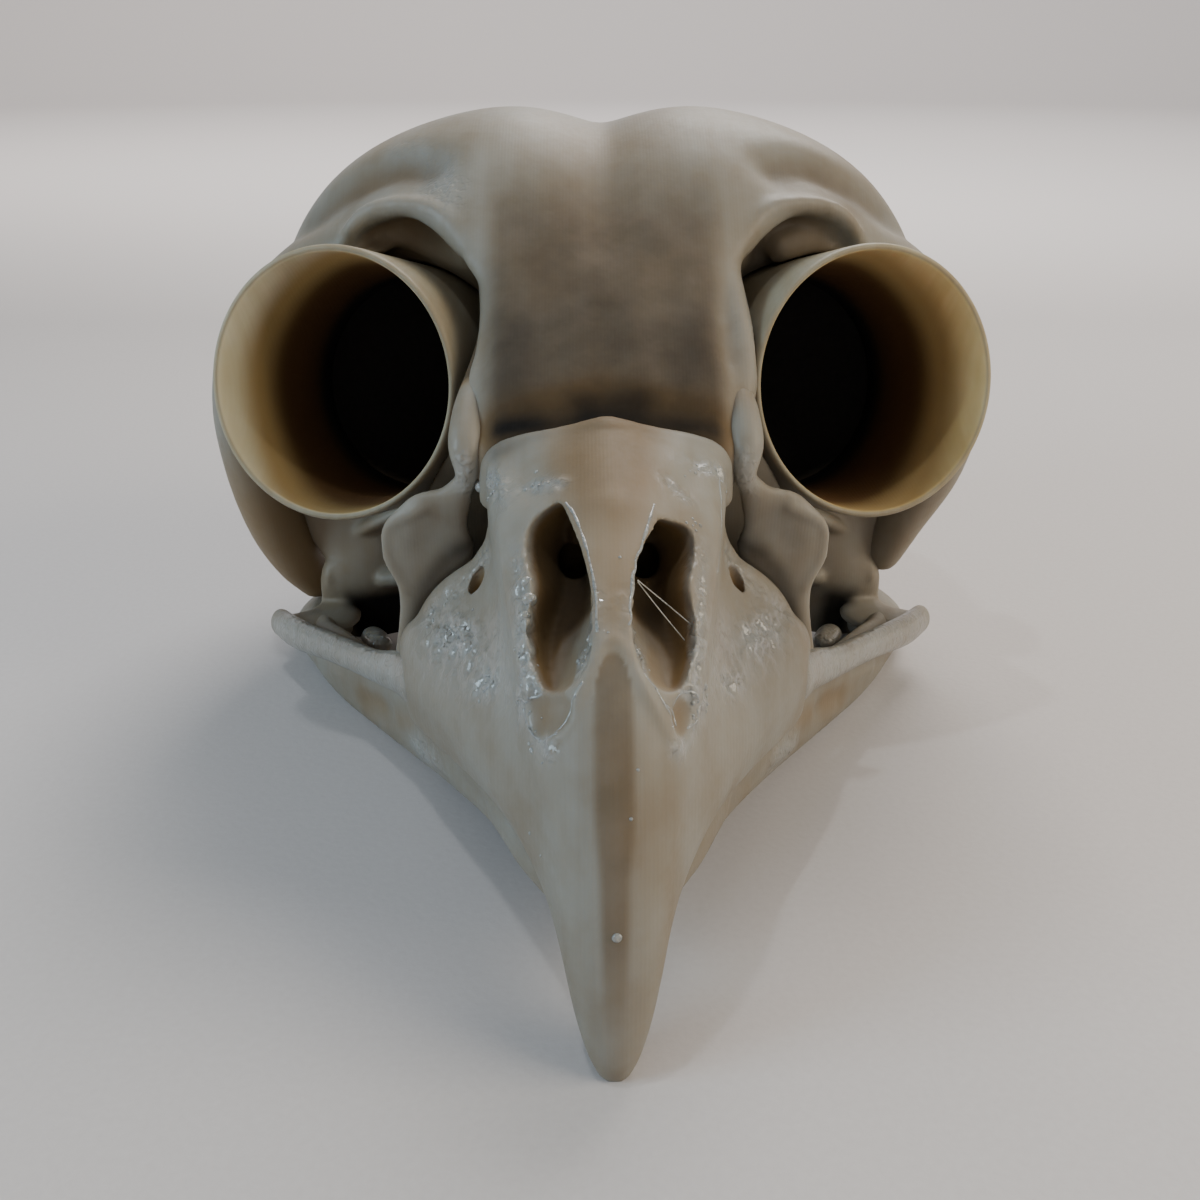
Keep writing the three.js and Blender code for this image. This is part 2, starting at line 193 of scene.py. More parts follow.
class Bench:
    """The place where pieces are modelled: skull millimetres go in and objects in metres come out."""

    def __init__(self, low: Vector) -> None:
        self.origin = Vector((0.0, low.y, low.z))
        self.coarser = 1.0

    def at(self, point: Sequence[float]) -> Vector:
        """A point of the skull in the frame's metres."""
        return self.origin + Vector(point[:3]) * MM

    def pick(self, *pieces: bpy.types.Object) -> bpy.types.Object:
        """Selects only these pieces and makes the first one active."""
        bpy.ops.object.select_all(action="DESELECT")
        for piece in pieces:
            piece.select_set(True)
        bpy.context.view_layer.objects.active = pieces[0]
        return pieces[0]

    def modified(self, piece: bpy.types.Object, kind: str, **settings: object) -> bpy.types.Object:
        """Adds a modifier with its settings and applies it."""
        self.pick(piece)
        modifier = piece.modifiers.new(kind.title(), kind)
        for name, value in settings.items():
            setattr(modifier, name, value)
        bpy.ops.object.modifier_apply(modifier=modifier.name)
        return piece

    def ball(self, middle: Sequence[float], radii: Point, sides: int = 40) -> bpy.types.Object:
        """A ball stretched to three radii, with so many sides."""
        bpy.ops.object.select_all(action="DESELECT")
        bpy.ops.mesh.primitive_uv_sphere_add(
            segments=sides, ring_count=round(0.6 * sides), radius=MM, location=self.at(middle)
        )
        piece = bpy.context.object
        piece.scale = radii
        bpy.ops.object.transform_apply(location=True, rotation=True, scale=True)
        return piece

    def loft(self, name: str, rings: np.ndarray) -> bpy.types.Object:
        """A closed skin over rings of points, which wind round the way that they follow each other."""
        count, sides = rings.shape[:2]
        faces = self.bands(count - 1, count, sides)
        faces.append(tuple(range(sides - 1, -1, -1)))
        faces.append(tuple(range((count - 1) * sides, count * sides)))
        return self.meshed(name, rings, faces)

    def bands(self, bands: int, count: int, sides: int) -> list[tuple[int, ...]]:
        """The faces of so many bands between rings in order, of which the last leads to the first."""
        faces = []
        for i in range(bands):
            near, far = i * sides, (i + 1) % count * sides
            for k in range(sides):
                after = (k + 1) % sides
                faces.append((near + k, near + after, far + after, far + k))
        return faces

    def meshed(self, name: str, rings: np.ndarray, faces: Sequence[tuple[int, ...]]) -> bpy.types.Object:
        """An object with these rings' points and faces."""
        mesh = bpy.data.meshes.new(name)
        mesh.from_pydata([self.at(p) for p in rings.reshape(-1, 3)], [], faces)
        piece = bpy.data.objects.new(name, mesh)
        bpy.context.collection.objects.link(piece)
        return piece

    def limb(self, path: Sequence[Station], facing: Point, side: Side = Side.LEFT) -> bpy.types.Object:
        """A rounded rod along a path.

        Args:
            path: stations of [across, back, up, breadth, thickness], the last two as radii.
            facing: the direction in which the thickness is measured.
            side: the side of the skull that it is on.

        Returns:
            The rod as a closed mesh.
        """
        rows = smooth_line([side.of(p) for p in path], 12 * len(path))
        middle, size = rows[:, :3], np.maximum(rows[:, 3:5], LIMB_THINNEST)
        along = np.gradient(middle, axis=0)
        along /= np.linalg.norm(along, axis=1)[:, None]
        thin = np.asarray(side.of(facing), float) - along * (along @ side.of(facing))[:, None]
        thin /= np.linalg.norm(thin, axis=1)[:, None]
        broad = np.cross(thin, along)
        turn = np.linspace(0, 2 * math.pi, LIMB_SIDES, endpoint=False)

        def ring(i: int, shrink: float, push: float) -> np.ndarray:
            centre = middle[i] + along[i] * push * min(size[i])
            x = np.cos(turn)[:, None] * broad[i] * size[i, 0]
            return centre + shrink * (x + np.sin(turn)[:, None] * thin[i] * size[i, 1])

        ends = [(0.35, 0.95), (0.75, 0.66), (0.93, 0.35)]  # how the rod's ends round off
        rings = [ring(0, shrink, -push) for shrink, push in ends]
        rings += [ring(i, 1, 0) for i in range(len(rows))]
        rings += [ring(-1, shrink, push) for shrink, push in reversed(ends)]
        return self.loft("limb", np.asarray(rings))

    def joined(self, name: str, pieces: Sequence[bpy.types.Object]) -> bpy.types.Object:
        """Joins pieces into one object under a new name."""
        whole = self.pick(*pieces)
        if len(pieces) > 1:
            bpy.ops.object.join()
        whole.name = whole.data.name = name
        return whole

    def fused(self, piece: bpy.types.Object, voxel: float, rounds: int = 0) -> bpy.types.Object:
        """Melts what overlaps in a piece into one skin of even faces, and smooths it.

        Args:
            piece: the piece, of closed shells.
            voxel: the size of a face.
            rounds: how many times to smooth.

        Returns:
            The same piece.
        """
        size = voxel * self.coarser * MM
        self.modified(piece, "REMESH", mode="VOXEL", voxel_size=size, adaptivity=0.0)
        return self.smoothed(piece, rounds)

    def smoothed(
        self, piece: bpy.types.Object, rounds: int, share: np.ndarray | None = None
    ) -> bpy.types.Object:
        """Smooths a piece so many times, or only as much as each vertex's share."""
        rounds = round(rounds / self.coarser**2)
        if rounds and share is None:
            self.modified(piece, "SMOOTH", factor=0.5, iterations=rounds)
        elif rounds:
            group = piece.vertex_groups.new(name="share")
            for i in np.flatnonzero(share > LEAST_SHARE):
                group.add([int(i)], float(share[i]), "REPLACE")
            self.modified(piece, "SMOOTH", factor=0.5, iterations=rounds, vertex_group=group.name)
            piece.vertex_groups.clear()
        return piece

    def carved(self, piece: bpy.types.Object, cutters: Sequence[bpy.types.Object]) -> bpy.types.Object:
        """Cuts the cutters out of a piece, and deletes them."""
        for cutter in cutters:
            self.modified(piece, "BOOLEAN", operation="DIFFERENCE", solver="MANIFOLD", object=cutter)
            bpy.data.objects.remove(cutter)
        return piece

    def grounded(self, piece: bpy.types.Object) -> None:
        """Lifts what lies under the table top onto it."""
        points = self.points(piece)
        points[:, 2] = np.maximum(points[:, 2], 0.0)
        self.move(piece, points)

    def points(self, piece: bpy.types.Object) -> np.ndarray:
        """The places of a piece's vertices, in skull millimetres."""
        flat = np.empty(3 * len(piece.data.vertices))
        piece.data.vertices.foreach_get("co", flat)
        return (flat.reshape(-1, 3) - np.asarray(self.origin)) / MM

    def normals(self, piece: bpy.types.Object) -> np.ndarray:
        """The directions in which a piece's vertices face."""
        flat = np.empty(3 * len(piece.data.vertices), dtype=np.float32)
        piece.data.vertex_normals.foreach_get("vector", flat)
        return flat.reshape(-1, 3)

    def move(self, piece: bpy.types.Object, points: np.ndarray) -> None:
        """Puts a piece's vertices at new places."""
        flat = (points * MM + np.asarray(self.origin)).ravel()
        piece.data.vertices.foreach_set("co", flat)
        piece.data.update()

    def sculpted(self, piece: bpy.types.Object, strokes: Sequence[Stroke]) -> bpy.types.Object:
        """Raises and presses a piece's surface along strokes."""
        for stroke in strokes:
            points, normals = self.points(piece), self.normals(piece)
            self.move(piece, points + normals * (stroke.amount * stroke.weight(points))[:, None])
        return piece

    def skin(self, piece: bpy.types.Object) -> BVHTree:
        """A piece's surface as it is now, to measure from."""
        return BVHTree.FromObject(piece, bpy.context.evaluated_depsgraph_get())

    def depth(self, piece: bpy.types.Object, skin: BVHTree) -> np.ndarray:
        """How far each of a piece's vertices lies below a skin, in millimetres; 0 above it."""
        deep = []
        for vertex in piece.data.vertices:
            nearest, normal, _, distance = skin.find_nearest(vertex.co)
            deep.append(distance if (nearest - vertex.co).dot(normal) > 0 else 0.0)
        return np.array(deep) / MM

    def lumped(self, piece: bpy.types.Object, touch: Touch, height: float, size: float) -> bpy.types.Object:
        """Raises lumps where a touch has been painted.

        Args:
            piece: the piece.
            touch: the attribute that says where.
            height: the tallest lump.
            size: how wide a lump is.

        Returns:
            The same piece.
        """
        share = np.empty(len(piece.data.vertices))
        piece.data.attributes[touch.value].data.foreach_get("value", share)
        points, normals = self.points(piece), self.normals(piece)
        for i in np.flatnonzero(share > LEAST_PAINT):
            at = Vector(points[i]) / size
            bump = noise.noise(at) + 0.5 * noise.noise(2 * at)
            points[i] += normals[i] * height * share[i] * bump
        self.move(piece, points)
        return piece

    def painted(self, piece: bpy.types.Object, touch: Touch, values: np.ndarray) -> None:
        """Adds to one of a piece's painted attributes, kept between 0 and 1."""
        data = piece.data
        layer = data.attributes.get(touch.value) or data.attributes.new(touch.value, "FLOAT", "POINT")
        old = np.empty(len(data.vertices))
        layer.data.foreach_get("value", old)
        layer.data.foreach_set("value", np.clip(old + values, 0, 1))

    def brushed(self, piece: bpy.types.Object, touch: Touch, strokes: Sequence[Stroke]) -> None:
        """Paints one of a piece's attributes along strokes."""
        points = self.points(piece)
        self.painted(piece, touch, sum(s.amount * s.weight(points) for s in strokes))

    def mounted(self, piece: bpy.types.Object, slot: str, *nodes: str) -> None:
        """Finishes a piece: smooth shading, all attributes, its body and the nodes it stands for."""
        for touch in Touch:
            self.painted(piece, touch, np.zeros(len(piece.data.vertices)))
        piece.data.shade_smooth()
        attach(piece, "root")
        if nodes:
            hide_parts(*nodes)
        LOG.info("%s: %d faces", piece.name, len(piece.data.polygons))


# ---- shader maths ----


class Wire:
    """A socket or a number in a shader, on which + - * and ** add Math nodes."""

    def __init__(self, shop: PaintShop, source: bpy.types.NodeSocket | float) -> None:
        self.shop = shop
        self.source = source

    def _math(self, operation: str, *others: Wire | float, first: Wire | float | None = None) -> Wire:
        """One Math node on this value, or on first and then this value."""
        values = [self if first is None else first, *others]
        return self.shop.node("ShaderNodeMath", {"operation": operation}, dict(enumerate(values)))

    def __add__(self, other: Wire | float) -> Wire:
        """Sum."""
        return self._math("ADD", other)

    __radd__ = __add__

    def __mul__(self, other: Wire | float) -> Wire:
        """Product."""
        return self._math("MULTIPLY", other)

    __rmul__ = __mul__

    def __sub__(self, other: Wire | float) -> Wire:
        """Difference."""
        return self._math("SUBTRACT", other)

    def __rsub__(self, other: float) -> Wire:
        """Difference from a number."""
        return self._math("SUBTRACT", self, first=other)

    def __pow__(self, power: float) -> Wire:
        """Power."""
        return self._math("POWER", power)

    def sine(self) -> Wire:
        """Sine, in radians."""
        return self._math("SINE")

    def step(self, low: float, high: float) -> Wire:
        """A smooth step from 0 at low to 1 at high."""
        settings = {"interpolation_type": "SMOOTHSTEP"}
        inputs = {"Value": self, "From Min": low, "From Max": high}
        return self.shop.node("ShaderNodeMapRange", settings, inputs)


class PaintShop:
    """Builds one material's nodes."""

    def __init__(self, name: str) -> None:
        self.material = bpy.data.materials.new(name)
        self.material.use_nodes = True
        self.nodes = self.material.node_tree.nodes
        self.links = self.material.node_tree.links
        self.shader = self.nodes["Principled BSDF"]

    def node(self, kind: str, settings: dict, inputs: dict, output: int | str = 0) -> Wire:
        """Adds a node.

        Args:
            kind: the node's type.
            settings: its properties.
            inputs: numbers, colours or wires for its sockets, by name or index.
            output: the socket to return.

        Returns:
            A wire from that socket.
        """
        node = self.nodes.new(kind)
        for name, value in settings.items():
            setattr(node, name, value)
        for key, value in inputs.items():
            self.plug(node.inputs[key], value)
        return Wire(self, node.outputs[output])

    def plug(self, socket: bpy.types.NodeSocket, value: Wire | float | tuple) -> None:
        """Links a wire to a socket, or sets the socket to a number or colour."""
        source = value.source if isinstance(value, Wire) else value
        if isinstance(source, bpy.types.NodeSocket):
            self.links.new(source, socket)
        else:
            socket.default_value = source

    def place(self, scale: Point = (1, 1, 1)) -> Wire:
        """Object coordinates in millimetres, stretched by scale."""
        where = self.node("ShaderNodeTexCoord", {}, {}, "Object")
        inputs = {"Vector": where, "Scale": tuple(s / MM for s in scale)}
        return self.node("ShaderNodeMapping", {}, inputs)

    def axes(self) -> tuple[Wire, Wire, Wire]:
        """Object coordinates in millimetres, as three numbers."""
        node = self.nodes.new("ShaderNodeSeparateXYZ")
        self.plug(node.inputs[0], self.place())
        return tuple(Wire(self, socket) for socket in node.outputs)

    def attribute(self, touch: Touch) -> Wire:
        """One of the painted attributes."""
        return self.node("ShaderNodeAttribute", {"attribute_name": touch.value}, {}, "Fac")

    def noise(self, size: float, detail: float = 3, stretch: Point = (1, 1, 1)) -> Wire:
        """Even noise from 0 to 1, with lumps of a size in millimetres."""
        inputs = {"Vector": self.place(stretch), "Scale": 1 / size, "Detail": detail}
        return self.node("ShaderNodeTexNoise", {}, inputs, "Fac")

    def mix(self, factor: Wire | float, first: Wire | tuple, second: Wire | tuple) -> Wire:
        """A colour between two."""
        node = self.nodes.new("ShaderNodeMix")
        node.data_type = "RGBA"
        for index, value in ((0, factor), (6, first), (7, second)):
            self.plug(node.inputs[index], value)
        return Wire(self, node.outputs[2])

    def bump(self, height: Wire, depth: float, under: Wire | None = None) -> Wire:
        """A bump whose height from 0 to 1 stands for a depth in millimetres."""
        inputs = {"Height": height, "Distance": depth * MM, "Strength": 1.0}
        if under is not None:
            inputs["Normal"] = under
        return self.node("ShaderNodeBump", {}, inputs)


def srgb(red: int, green: int, blue: int) -> tuple[float, float, float, float]:
    """A colour that a screen shows with these values, from 0 to 255, as a shader needs it."""
    return (*(((c / 255 + 0.055) / 1.055) ** 2.4 for c in (red, green, blue)), 1.0)


@dataclass(frozen=True)
class PrintedPlastic:
    """Grey-beige plastic, printed in thin upright layers and a little translucent."""

    name: str = "printed_plastic"
    pale: tuple = srgb(134, 131, 122)
    sand: tuple = srgb(118, 106, 88)
    # amber is the colour of the painted glow, deep the near-black of the painted shade
    amber: tuple = srgb(122, 98, 64)
    deep: tuple = srgb(8, 4, 1)
    painted_sheen: tuple = srgb(152, 160, 163)  # painted sheen: paler and bluer where the surface is wet
    layer: float = 0.27  # thickness of one printed layer
    groove: float = 0.005  # depth of the line between two layers
    lump: float = 0.15  # height of the melted lumps
    roughness: float = 0.5
    glow: float = 0.25  # share of light that goes into the plastic
    reach: tuple[float, float, float] = (1.6, 1.1, 0.6)  # how far it goes, in red, green and blue

    def tint(self, shop: PaintShop) -> Wire:
        """Grey and sandy patches and streaks, then the painted glow and warmth, the painted sheen and the
        painted shade.
        """
        patches = shop.noise(9, 4).step(0.35, 0.65)
        streaks = shop.noise(1.3, 3, (1, 0.06, 0.06)).step(0.3, 0.7)
        mottle = shop.noise(2.6, 4).step(0.42, 0.7)
        base = shop.mix(patches * 0.5 + streaks * 0.2 + mottle * 0.2, self.pale, self.sand)
        # painted glow: amber where light shining through thin plastic is painted in, with a warmer tone
        base = shop.mix(shop.attribute(Touch.GLOW_AND_WARMTH), base, self.amber)
        # painted sheen: paler and bluer where the surface is wet
        base = shop.mix(shop.attribute(Touch.WET) * 0.4, base, self.painted_sheen)
        # painted shade, mottled where it is not full
        shade = shop.attribute(Touch.SHADE)
        blotch = shop.noise(2.2, 3).step(0.3, 0.7) - 0.5
        return shop.mix(shade + blotch * shade * (1 - shade) * 0.35, base, self.deep)

    def made(self) -> bpy.types.Material:
        """Builds the material."""
        shop = PaintShop(self.name)
        wet = shop.attribute(Touch.WET)
        shop.plug(shop.shader.inputs["Base Color"], self.tint(shop))

        grain = shop.noise(0.5, 2)
        rough = self.roughness + (grain - 0.5) * 0.16 - wet * 0.2 + shop.attribute(Touch.SHADE) * 0.4
        shop.plug(shop.shader.inputs["Roughness"], rough)

        across = shop.axes()[0]
        waver = shop.noise(6, 2) * 0.5
        ridges = ((across * (1 / self.layer) + waver) * (2 * math.pi)).sine() * 0.5 + 0.5
        uneven = shop.noise(0.9, 2, (1, 0.1, 0.1))
        lines = shop.bump(ridges * uneven * (1 - wet), self.groove)
        lumps = (shop.noise(1.0, 2).step(0.44, 0.6) + shop.noise(0.35, 2) * 0.5) * wet
        relief = shop.bump(lumps, self.lump, lines)
        fine = shop.bump(grain, 0.01, relief)
        shop.plug(shop.shader.inputs["Normal"], fine)

        shop.shader.inputs["Subsurface Weight"].default_value = self.glow
        shop.shader.inputs["Subsurface Radius"].default_value = self.reach
        shop.shader.inputs["Subsurface Scale"].default_value = MM
        shop.shader.inputs["Specular IOR Level"].default_value = 0.3
        shop.plug(shop.shader.inputs["Coat Weight"], wet)
        shop.shader.inputs["Coat Roughness"].default_value = 0.05
        return shop.material


@dataclass(frozen=True)
class ThinWallGlowAndShade(PrintedPlastic):
    """The same plastic on the thin tube walls, with the light that shines through them painted in as a glow,
    and painted shade where it is lost inside.
    """

    name: str = "thin_wall_glow_and_shade"
    pale: tuple = srgb(132, 127, 110)
    sand: tuple = srgb(120, 108, 86)
    # lit colours: the painted glow of light through the wall
    lit: tuple = srgb(214, 210, 186)
    lit_streak: tuple = srgb(192, 184, 150)
    # amber, brown and black: the painted glow fading into painted shade
    amber: tuple = srgb(168, 142, 94)
    brown: tuple = srgb(84, 58, 30)
    deep: tuple = srgb(3, 1, 0)
    fade: tuple[float, float, float] = (0.35, 0.65, 0.98)  # shade at which it is amber, brown and black

    def tint(self, shop: PaintShop) -> Wire:
        """From the painted glow, pale and amber, through brown to black, by the painted shade."""
        shade, glow_and_warmth = shop.attribute(Touch.SHADE), shop.attribute(Touch.GLOW_AND_WARMTH)
        patches = shop.noise(7, 3).step(0.35, 0.65)
        streaks = shop.noise(0.9, 3, (1, 0.05, 0.05)).step(0.3, 0.7)
        first, second, last = self.fade
        grain = patches * 0.4 + streaks * 0.4
        outside = shop.mix(grain, self.pale, self.sand)
        # painted glow: the lit colours inside the tube
        base = shop.mix(glow_and_warmth, outside, shop.mix(grain, self.lit, self.lit_streak))
        base = shop.mix(shade.step(0, first) * glow_and_warmth, base, self.amber)
        base = shop.mix(shade.step(first, second), base, self.brown)
        return shop.mix(shade.step(second, last), base, self.deep)


# ---- the bones ----


@dataclass
class EyeTube:
    """The bony tube round one eye, open at both ends."""

    side: Side
    front: Point = (22.6, 42.0, 33.7)  # middle of the front rim
    outward: float = 19.0  # degrees
    upward: float = 14.0
    rim: float = 11.2
    hind: float = 10.8
    wall: float = 1.0
    depth: float = 18.0

    def axis(self) -> np.ndarray:
        """The way the tube looks."""
        out, up = math.radians(self.outward), math.radians(self.upward)
        level = self.side.value * math.sin(out), -math.cos(out)
        return np.array([level[0] * math.cos(up), level[1] * math.cos(up), math.sin(up)])

    def rings(self, profile: Sequence[tuple[float, float]], sides: int) -> np.ndarray:
        """Circles round the axis, one for each radius and distance along it from the front rim."""
        axis = self.axis()
        across = np.cross(axis, (0, 0, 1))
        across /= np.linalg.norm(across)
        rise = np.cross(across, axis)
        turn = np.linspace(0, 2 * math.pi, sides, endpoint=False)
        around = np.cos(turn)[:, None] * across - np.sin(turn)[:, None] * rise
        middle = np.asarray(self.side.of(self.front))
        return np.asarray([middle + axis * along + around * radius for radius, along in profile])

    def room(self, bench: Bench, grow: float = 0.15, ahead: float = 9.0) -> bpy.types.Object:
        """The room that the tube takes up, as a cutter that reaches so far ahead of its rim."""
        radius = self.rim + grow
        profile = [(radius, ahead), (radius, 0), (self.hind + grow, -self.depth - grow)]
        return bench.loft("room", self.rings(profile, 96)[:, ::-1])

    def build(self, bench: Bench) -> bpy.types.Object:
        """Models and paints the tube."""
        inner, outer, end = self.hind - self.wall, self.hind, -self.depth
        lip, lip_rise = 0.3, 0.45  # the rounded edge of the rim
        bead = [
            (self.rim - lip + lip * math.cos(a), lip_rise * math.sin(a) - 0.4)
            for a in np.linspace(0, math.pi, 11)
        ]
        out = [(outer, end), (outer + 0.15, end * 0.6), (self.rim - 0.06, -3.0), (self.rim, -1.4)]
        into = [(self.rim - 0.66, -2), (inner + 0.1, end * 0.5), (inner, end + 0.3)]
        profile = smooth_line(out, 14).tolist()[:-1] + bead + smooth_line(into, 22).tolist()
        rings = self.rings(profile, 160)[:, ::-1]
        count, sides = rings.shape[:2]
        name = "eye_tube_" + self.side.word
        tube = bench.meshed(name + "_shell", rings, bench.bands(count, count, sides))
        bench.pick(tube)
        bpy.ops.object.mode_set(mode="EDIT")
        bpy.ops.mesh.select_all(action="SELECT")
        bpy.ops.mesh.normals_make_consistent(inside=False)
        bpy.ops.object.mode_set(mode="OBJECT")
        self.paint(bench, tube)
        bench.mounted(tube, "eye_tube_plastic", name)
        return tube

    def paint(self, bench: Bench, tube: bpy.types.Object) -> None:
        """Paints the light that the wall lets through as a glow, amber at the outer side, and painted shade
        from brown to dark at the back and on the outside that faces away.
        """
        points = bench.points(tube)
        from_front = points - self.side.of(self.front)
        depth = -(from_front @ self.axis())
        radial = from_front + depth[:, None] * self.axis()
        radius = np.linalg.norm(radial, axis=1)
        outer_side = radial[:, 0] * self.side.value / np.maximum(radius, 0.1)
        inside = eased(self.rim - 0.42 - radius, 0, 0.2)
        above = radial[:, 2] / np.maximum(radius, 0.1)
        lit = eased(outer_side + 0.3 * above, -0.35, 0.95)
        start = 8.0 * lit - 6.0
        share = (depth - start) / (self.depth - start)
        # painted shade inside the tube, deeper towards the back and away from the lit outer side
        dark = inside * np.interp(share, (0, 0.2, 0.44, 0.8, 0.95), (0, 0.3, 0.6, 0.78, 1))
        # painted shade on the outside of the tube that faces inwards
        hidden_side_shade = (1 - inside) * eased(-outer_side, -0.5, 0.4) * eased(depth, 0.8, 3.0)
        bench.painted(tube, Touch.SHADE, dark + 0.4 * hidden_side_shade)
        # painted glow inside the tube, and a little on its lit outer side
        bench.painted(tube, Touch.GLOW_AND_WARMTH, np.maximum(inside, 0.2 * lit))


@dataclass
class Cranium:
    """Forehead, crown, occiput, brows and the wings behind the eyes, as one bone."""

    # back, half width, roof, height of the greatest width, underside, depth of the groove along the crown
    vault: tuple[Station, ...] = (
        (31.6, 9.2, 33.4, 30, 25, 0),
        (33, 10.4, 35.6, 30, 22, 0),
        (36.5, 10.4, 39, 33, 20, 0.3),
        (40, 9.9, 42, 36, 18.5, 0.5),
        (44, 11.4, 45.2, 39, 17.5, 0.7),
        (48, 17.2, 48.2, 38, 17, 0.9),
        (52, 24.4, 51.2, 34, 15.5, 1.1),
        (57, 29.6, 53.4, 30, 13, 1.3),
        (64, 31, 54, 28, 11.5, 1.3),
        (73, 30.4, 52.2, 27, 10.5, 1.2),
        (82, 26.6, 47.4, 26.5, 11, 0.8),
        (89, 20, 40.4, 26, 12.5, 0.4),
        (93.4, 11.5, 33.4, 25, 16.5, 0),
        (95, 4.5, 28, 24.5, 21, 0),
    )
    roundness: tuple[float, float] = (2.7, 2.1)  # of the roof and of the underside
    groove_width: float = 5.0
    orbit_middle: Point = (24.5, 46, 31.5)
    orbit_radii: Point = (20.4, 15.4, 14.6)
    # a table of stations is for both sides, unless its name says left: there it stands in, or comes on top
    ledge: tuple[Station, ...] = (
        (22.4, 53.4, 43.2, 1.6, 0.7),
        (20.4, 53.4, 45.1, 2.6, 0.8),
        (17, 52.6, 46.3, 2.9, 0.8),
        (14.4, 51.4, 46.2, 2.7, 0.8),
        (12.4, 49.6, 45.2, 2.2, 0.9),
        (10.8, 47.6, 43.6, 1.7, 0.9),
    )
    ledge_lip: tuple[Station, ...] = (
        (23.0, 53.6, 42.2, 0.6, 0.5),
        (22.2, 52.0, 43.4, 0.8, 0.6),
        (21.2, 51.2, 45.0, 0.9, 0.7),
        (19.6, 51.0, 46.3, 0.9, 0.7),
        (17, 50.4, 46.9, 0.9, 0.7),
        (14.4, 49.4, 46.8, 0.9, 0.7),
        (12.7, 48.4, 46.0, 0.9, 0.7),
        (11.5, 47.2, 44.8, 0.9, 0.7),
    )
    brow: tuple[Station, ...] = (
        (10.8, 48.2, 44.0, 1.6, 0.8),
        (9.7, 46.0, 42.0, 1.6, 0.8),
        (9.3, 43.8, 39.8, 1.6, 0.85),
        (9.3, 41.6, 37.9, 1.6, 0.85),
        (9.6, 39.7, 36.2, 1.6, 0.85),
        (10.1, 38.0, 34.9, 1.5, 0.85),
        (10.4, 36.6, 33.9, 1.4, 0.9),
    )
    left_brow: tuple[Station, ...] = (
        (10.8, 48.2, 44.0, 1.6, 0.8),
        (10.3, 46.0, 42.0, 1.8, 1.0),
        (10.5, 43.8, 39.8, 1.9, 1.2),
        (10.8, 41.6, 37.9, 1.9, 1.25),
        (11.0, 39.7, 36.2, 1.8, 1.2),
        (11.0, 38.0, 34.9, 1.6, 1.1),
        (10.8, 36.6, 33.9, 1.4, 1.0),
    )
    socket: tuple[Station, ...] = (
        (21.6, 51.0, 43.6, 1.1, 1.5),
        (19.8, 51.0, 44.4, 1.6, 2.2),
        (17.6, 51.0, 44.6, 1.8, 3.0),
        (15.4, 50.4, 43.9, 1.9, 4.0),
        (13.4, 49.2, 42.4, 1.8, 5.0),
        (11.9, 47.6, 39.6, 1.5, 6.0),
        (11.2, 45.6, 37.1, 1.4, 6.0),
        (11.2, 43.6, 34.9, 1.3, 5.6),
        (12.0, 41.8, 32.1, 1.2, 5.0),
    )
    left_sill: tuple[Station, ...] = (
        (21.2, 53.6, 42.4, 1.6, 1.4),
        (19.4, 53.4, 43.3, 2.0, 1.8),
        (17.4, 53.2, 43.5, 2.1, 1.9),
        (15.8, 52.8, 42.9, 1.7, 1.6),
    )
    sight: Point = (0, 0.908, -0.419)  # the way in which the socket is deep
    wing: tuple[Station, ...] = (
        (19, 53.4, 45, 3.2, 2.2),
        (27, 55.6, 40.4, 3.8, 2.2),
        (32.4, 57.6, 34.6, 4.4, 2.6),
        (34.2, 59.2, 28, 4.8, 3.1),
        (34.3, 60.4, 21, 4.4, 3.0),
        (33.3, 61.4, 14.6, 3.6, 2.9),
        (31.7, 62.6, 9.8, 3.0, 2.6),
        (30.3, 63.4, 6.8, 2.2, 2.0),
    )
    left_wing: tuple[Station, ...] = (
        *wing[:3],
        (34.0, 59.2, 28, 4.8, 2.9),
        (33.4, 60.2, 21, 4.2, 2.7),
        (30.8, 61.0, 14.6, 3.4, 2.3),
        (29.4, 61.8, 10.4, 2.6, 2.0),
    )
    ear_wing: tuple[Station, ...] = (
        (28, 70.5, 34, 3.6, 1.6),
        (31.4, 71.6, 27, 4.4, 1.4),
        (31.6, 73, 20.6, 4.4, 1.3),
        (28, 74.6, 13.8, 3.6, 1.3),
        (23.6, 75.6, 10.2, 2.2, 1.4),
    )
    strokes: tuple[Stroke, ...] = (
        Stroke(((0, 44, 45.5), (0, 54, 52), (0, 64, 53.6), (0, 74, 51.5)), 2.4, -0.5),
        Stroke(((9, 50, 50), (10, 58, 54), (10, 68, 53.5)), 5.5, 0.15),
        Stroke(((14.4, 52.8, 48.8), (17.4, 54.4, 49.2), (20.8, 55.4, 47.8), (24.4, 57.2, 44.6)), 2.0, -1.5),
        Stroke(((4.6, 35, 37.2), (5.2, 39, 41)), 2.6, -0.5),
        Stroke(((0, 34, 36.6), (0, 38, 40.6)), 1.6, -0.35),
        Stroke(((5.5, 42, 43.6), (6.5, 46, 46.6)), 2.6, -0.3),
        Stroke(((9.0, 33.2, 33.0), (5, 32.2, 34.0), (0, 32.0, 34.7)), 1.3, -0.9),
        Stroke(((0, 32.6, 35.4), (0.6, 33.0, 36.0)), 0.8, -0.5),
        Stroke(((26, 70, 41), (22, 84, 34), (12, 92, 29), (0, 94.4, 27)), 1.6, 0.35),
        Stroke(((0, 93.5, 24.5), (0, 92, 21)), 3.4, 0.7),
        Stroke(((6.5, 92, 22), (9, 89, 17)), 2.6, -0.5),
    )

    voxels: tuple[float, float, float] = (0.6, 0.45, 0.38)  # of the vault, the whole and its edges

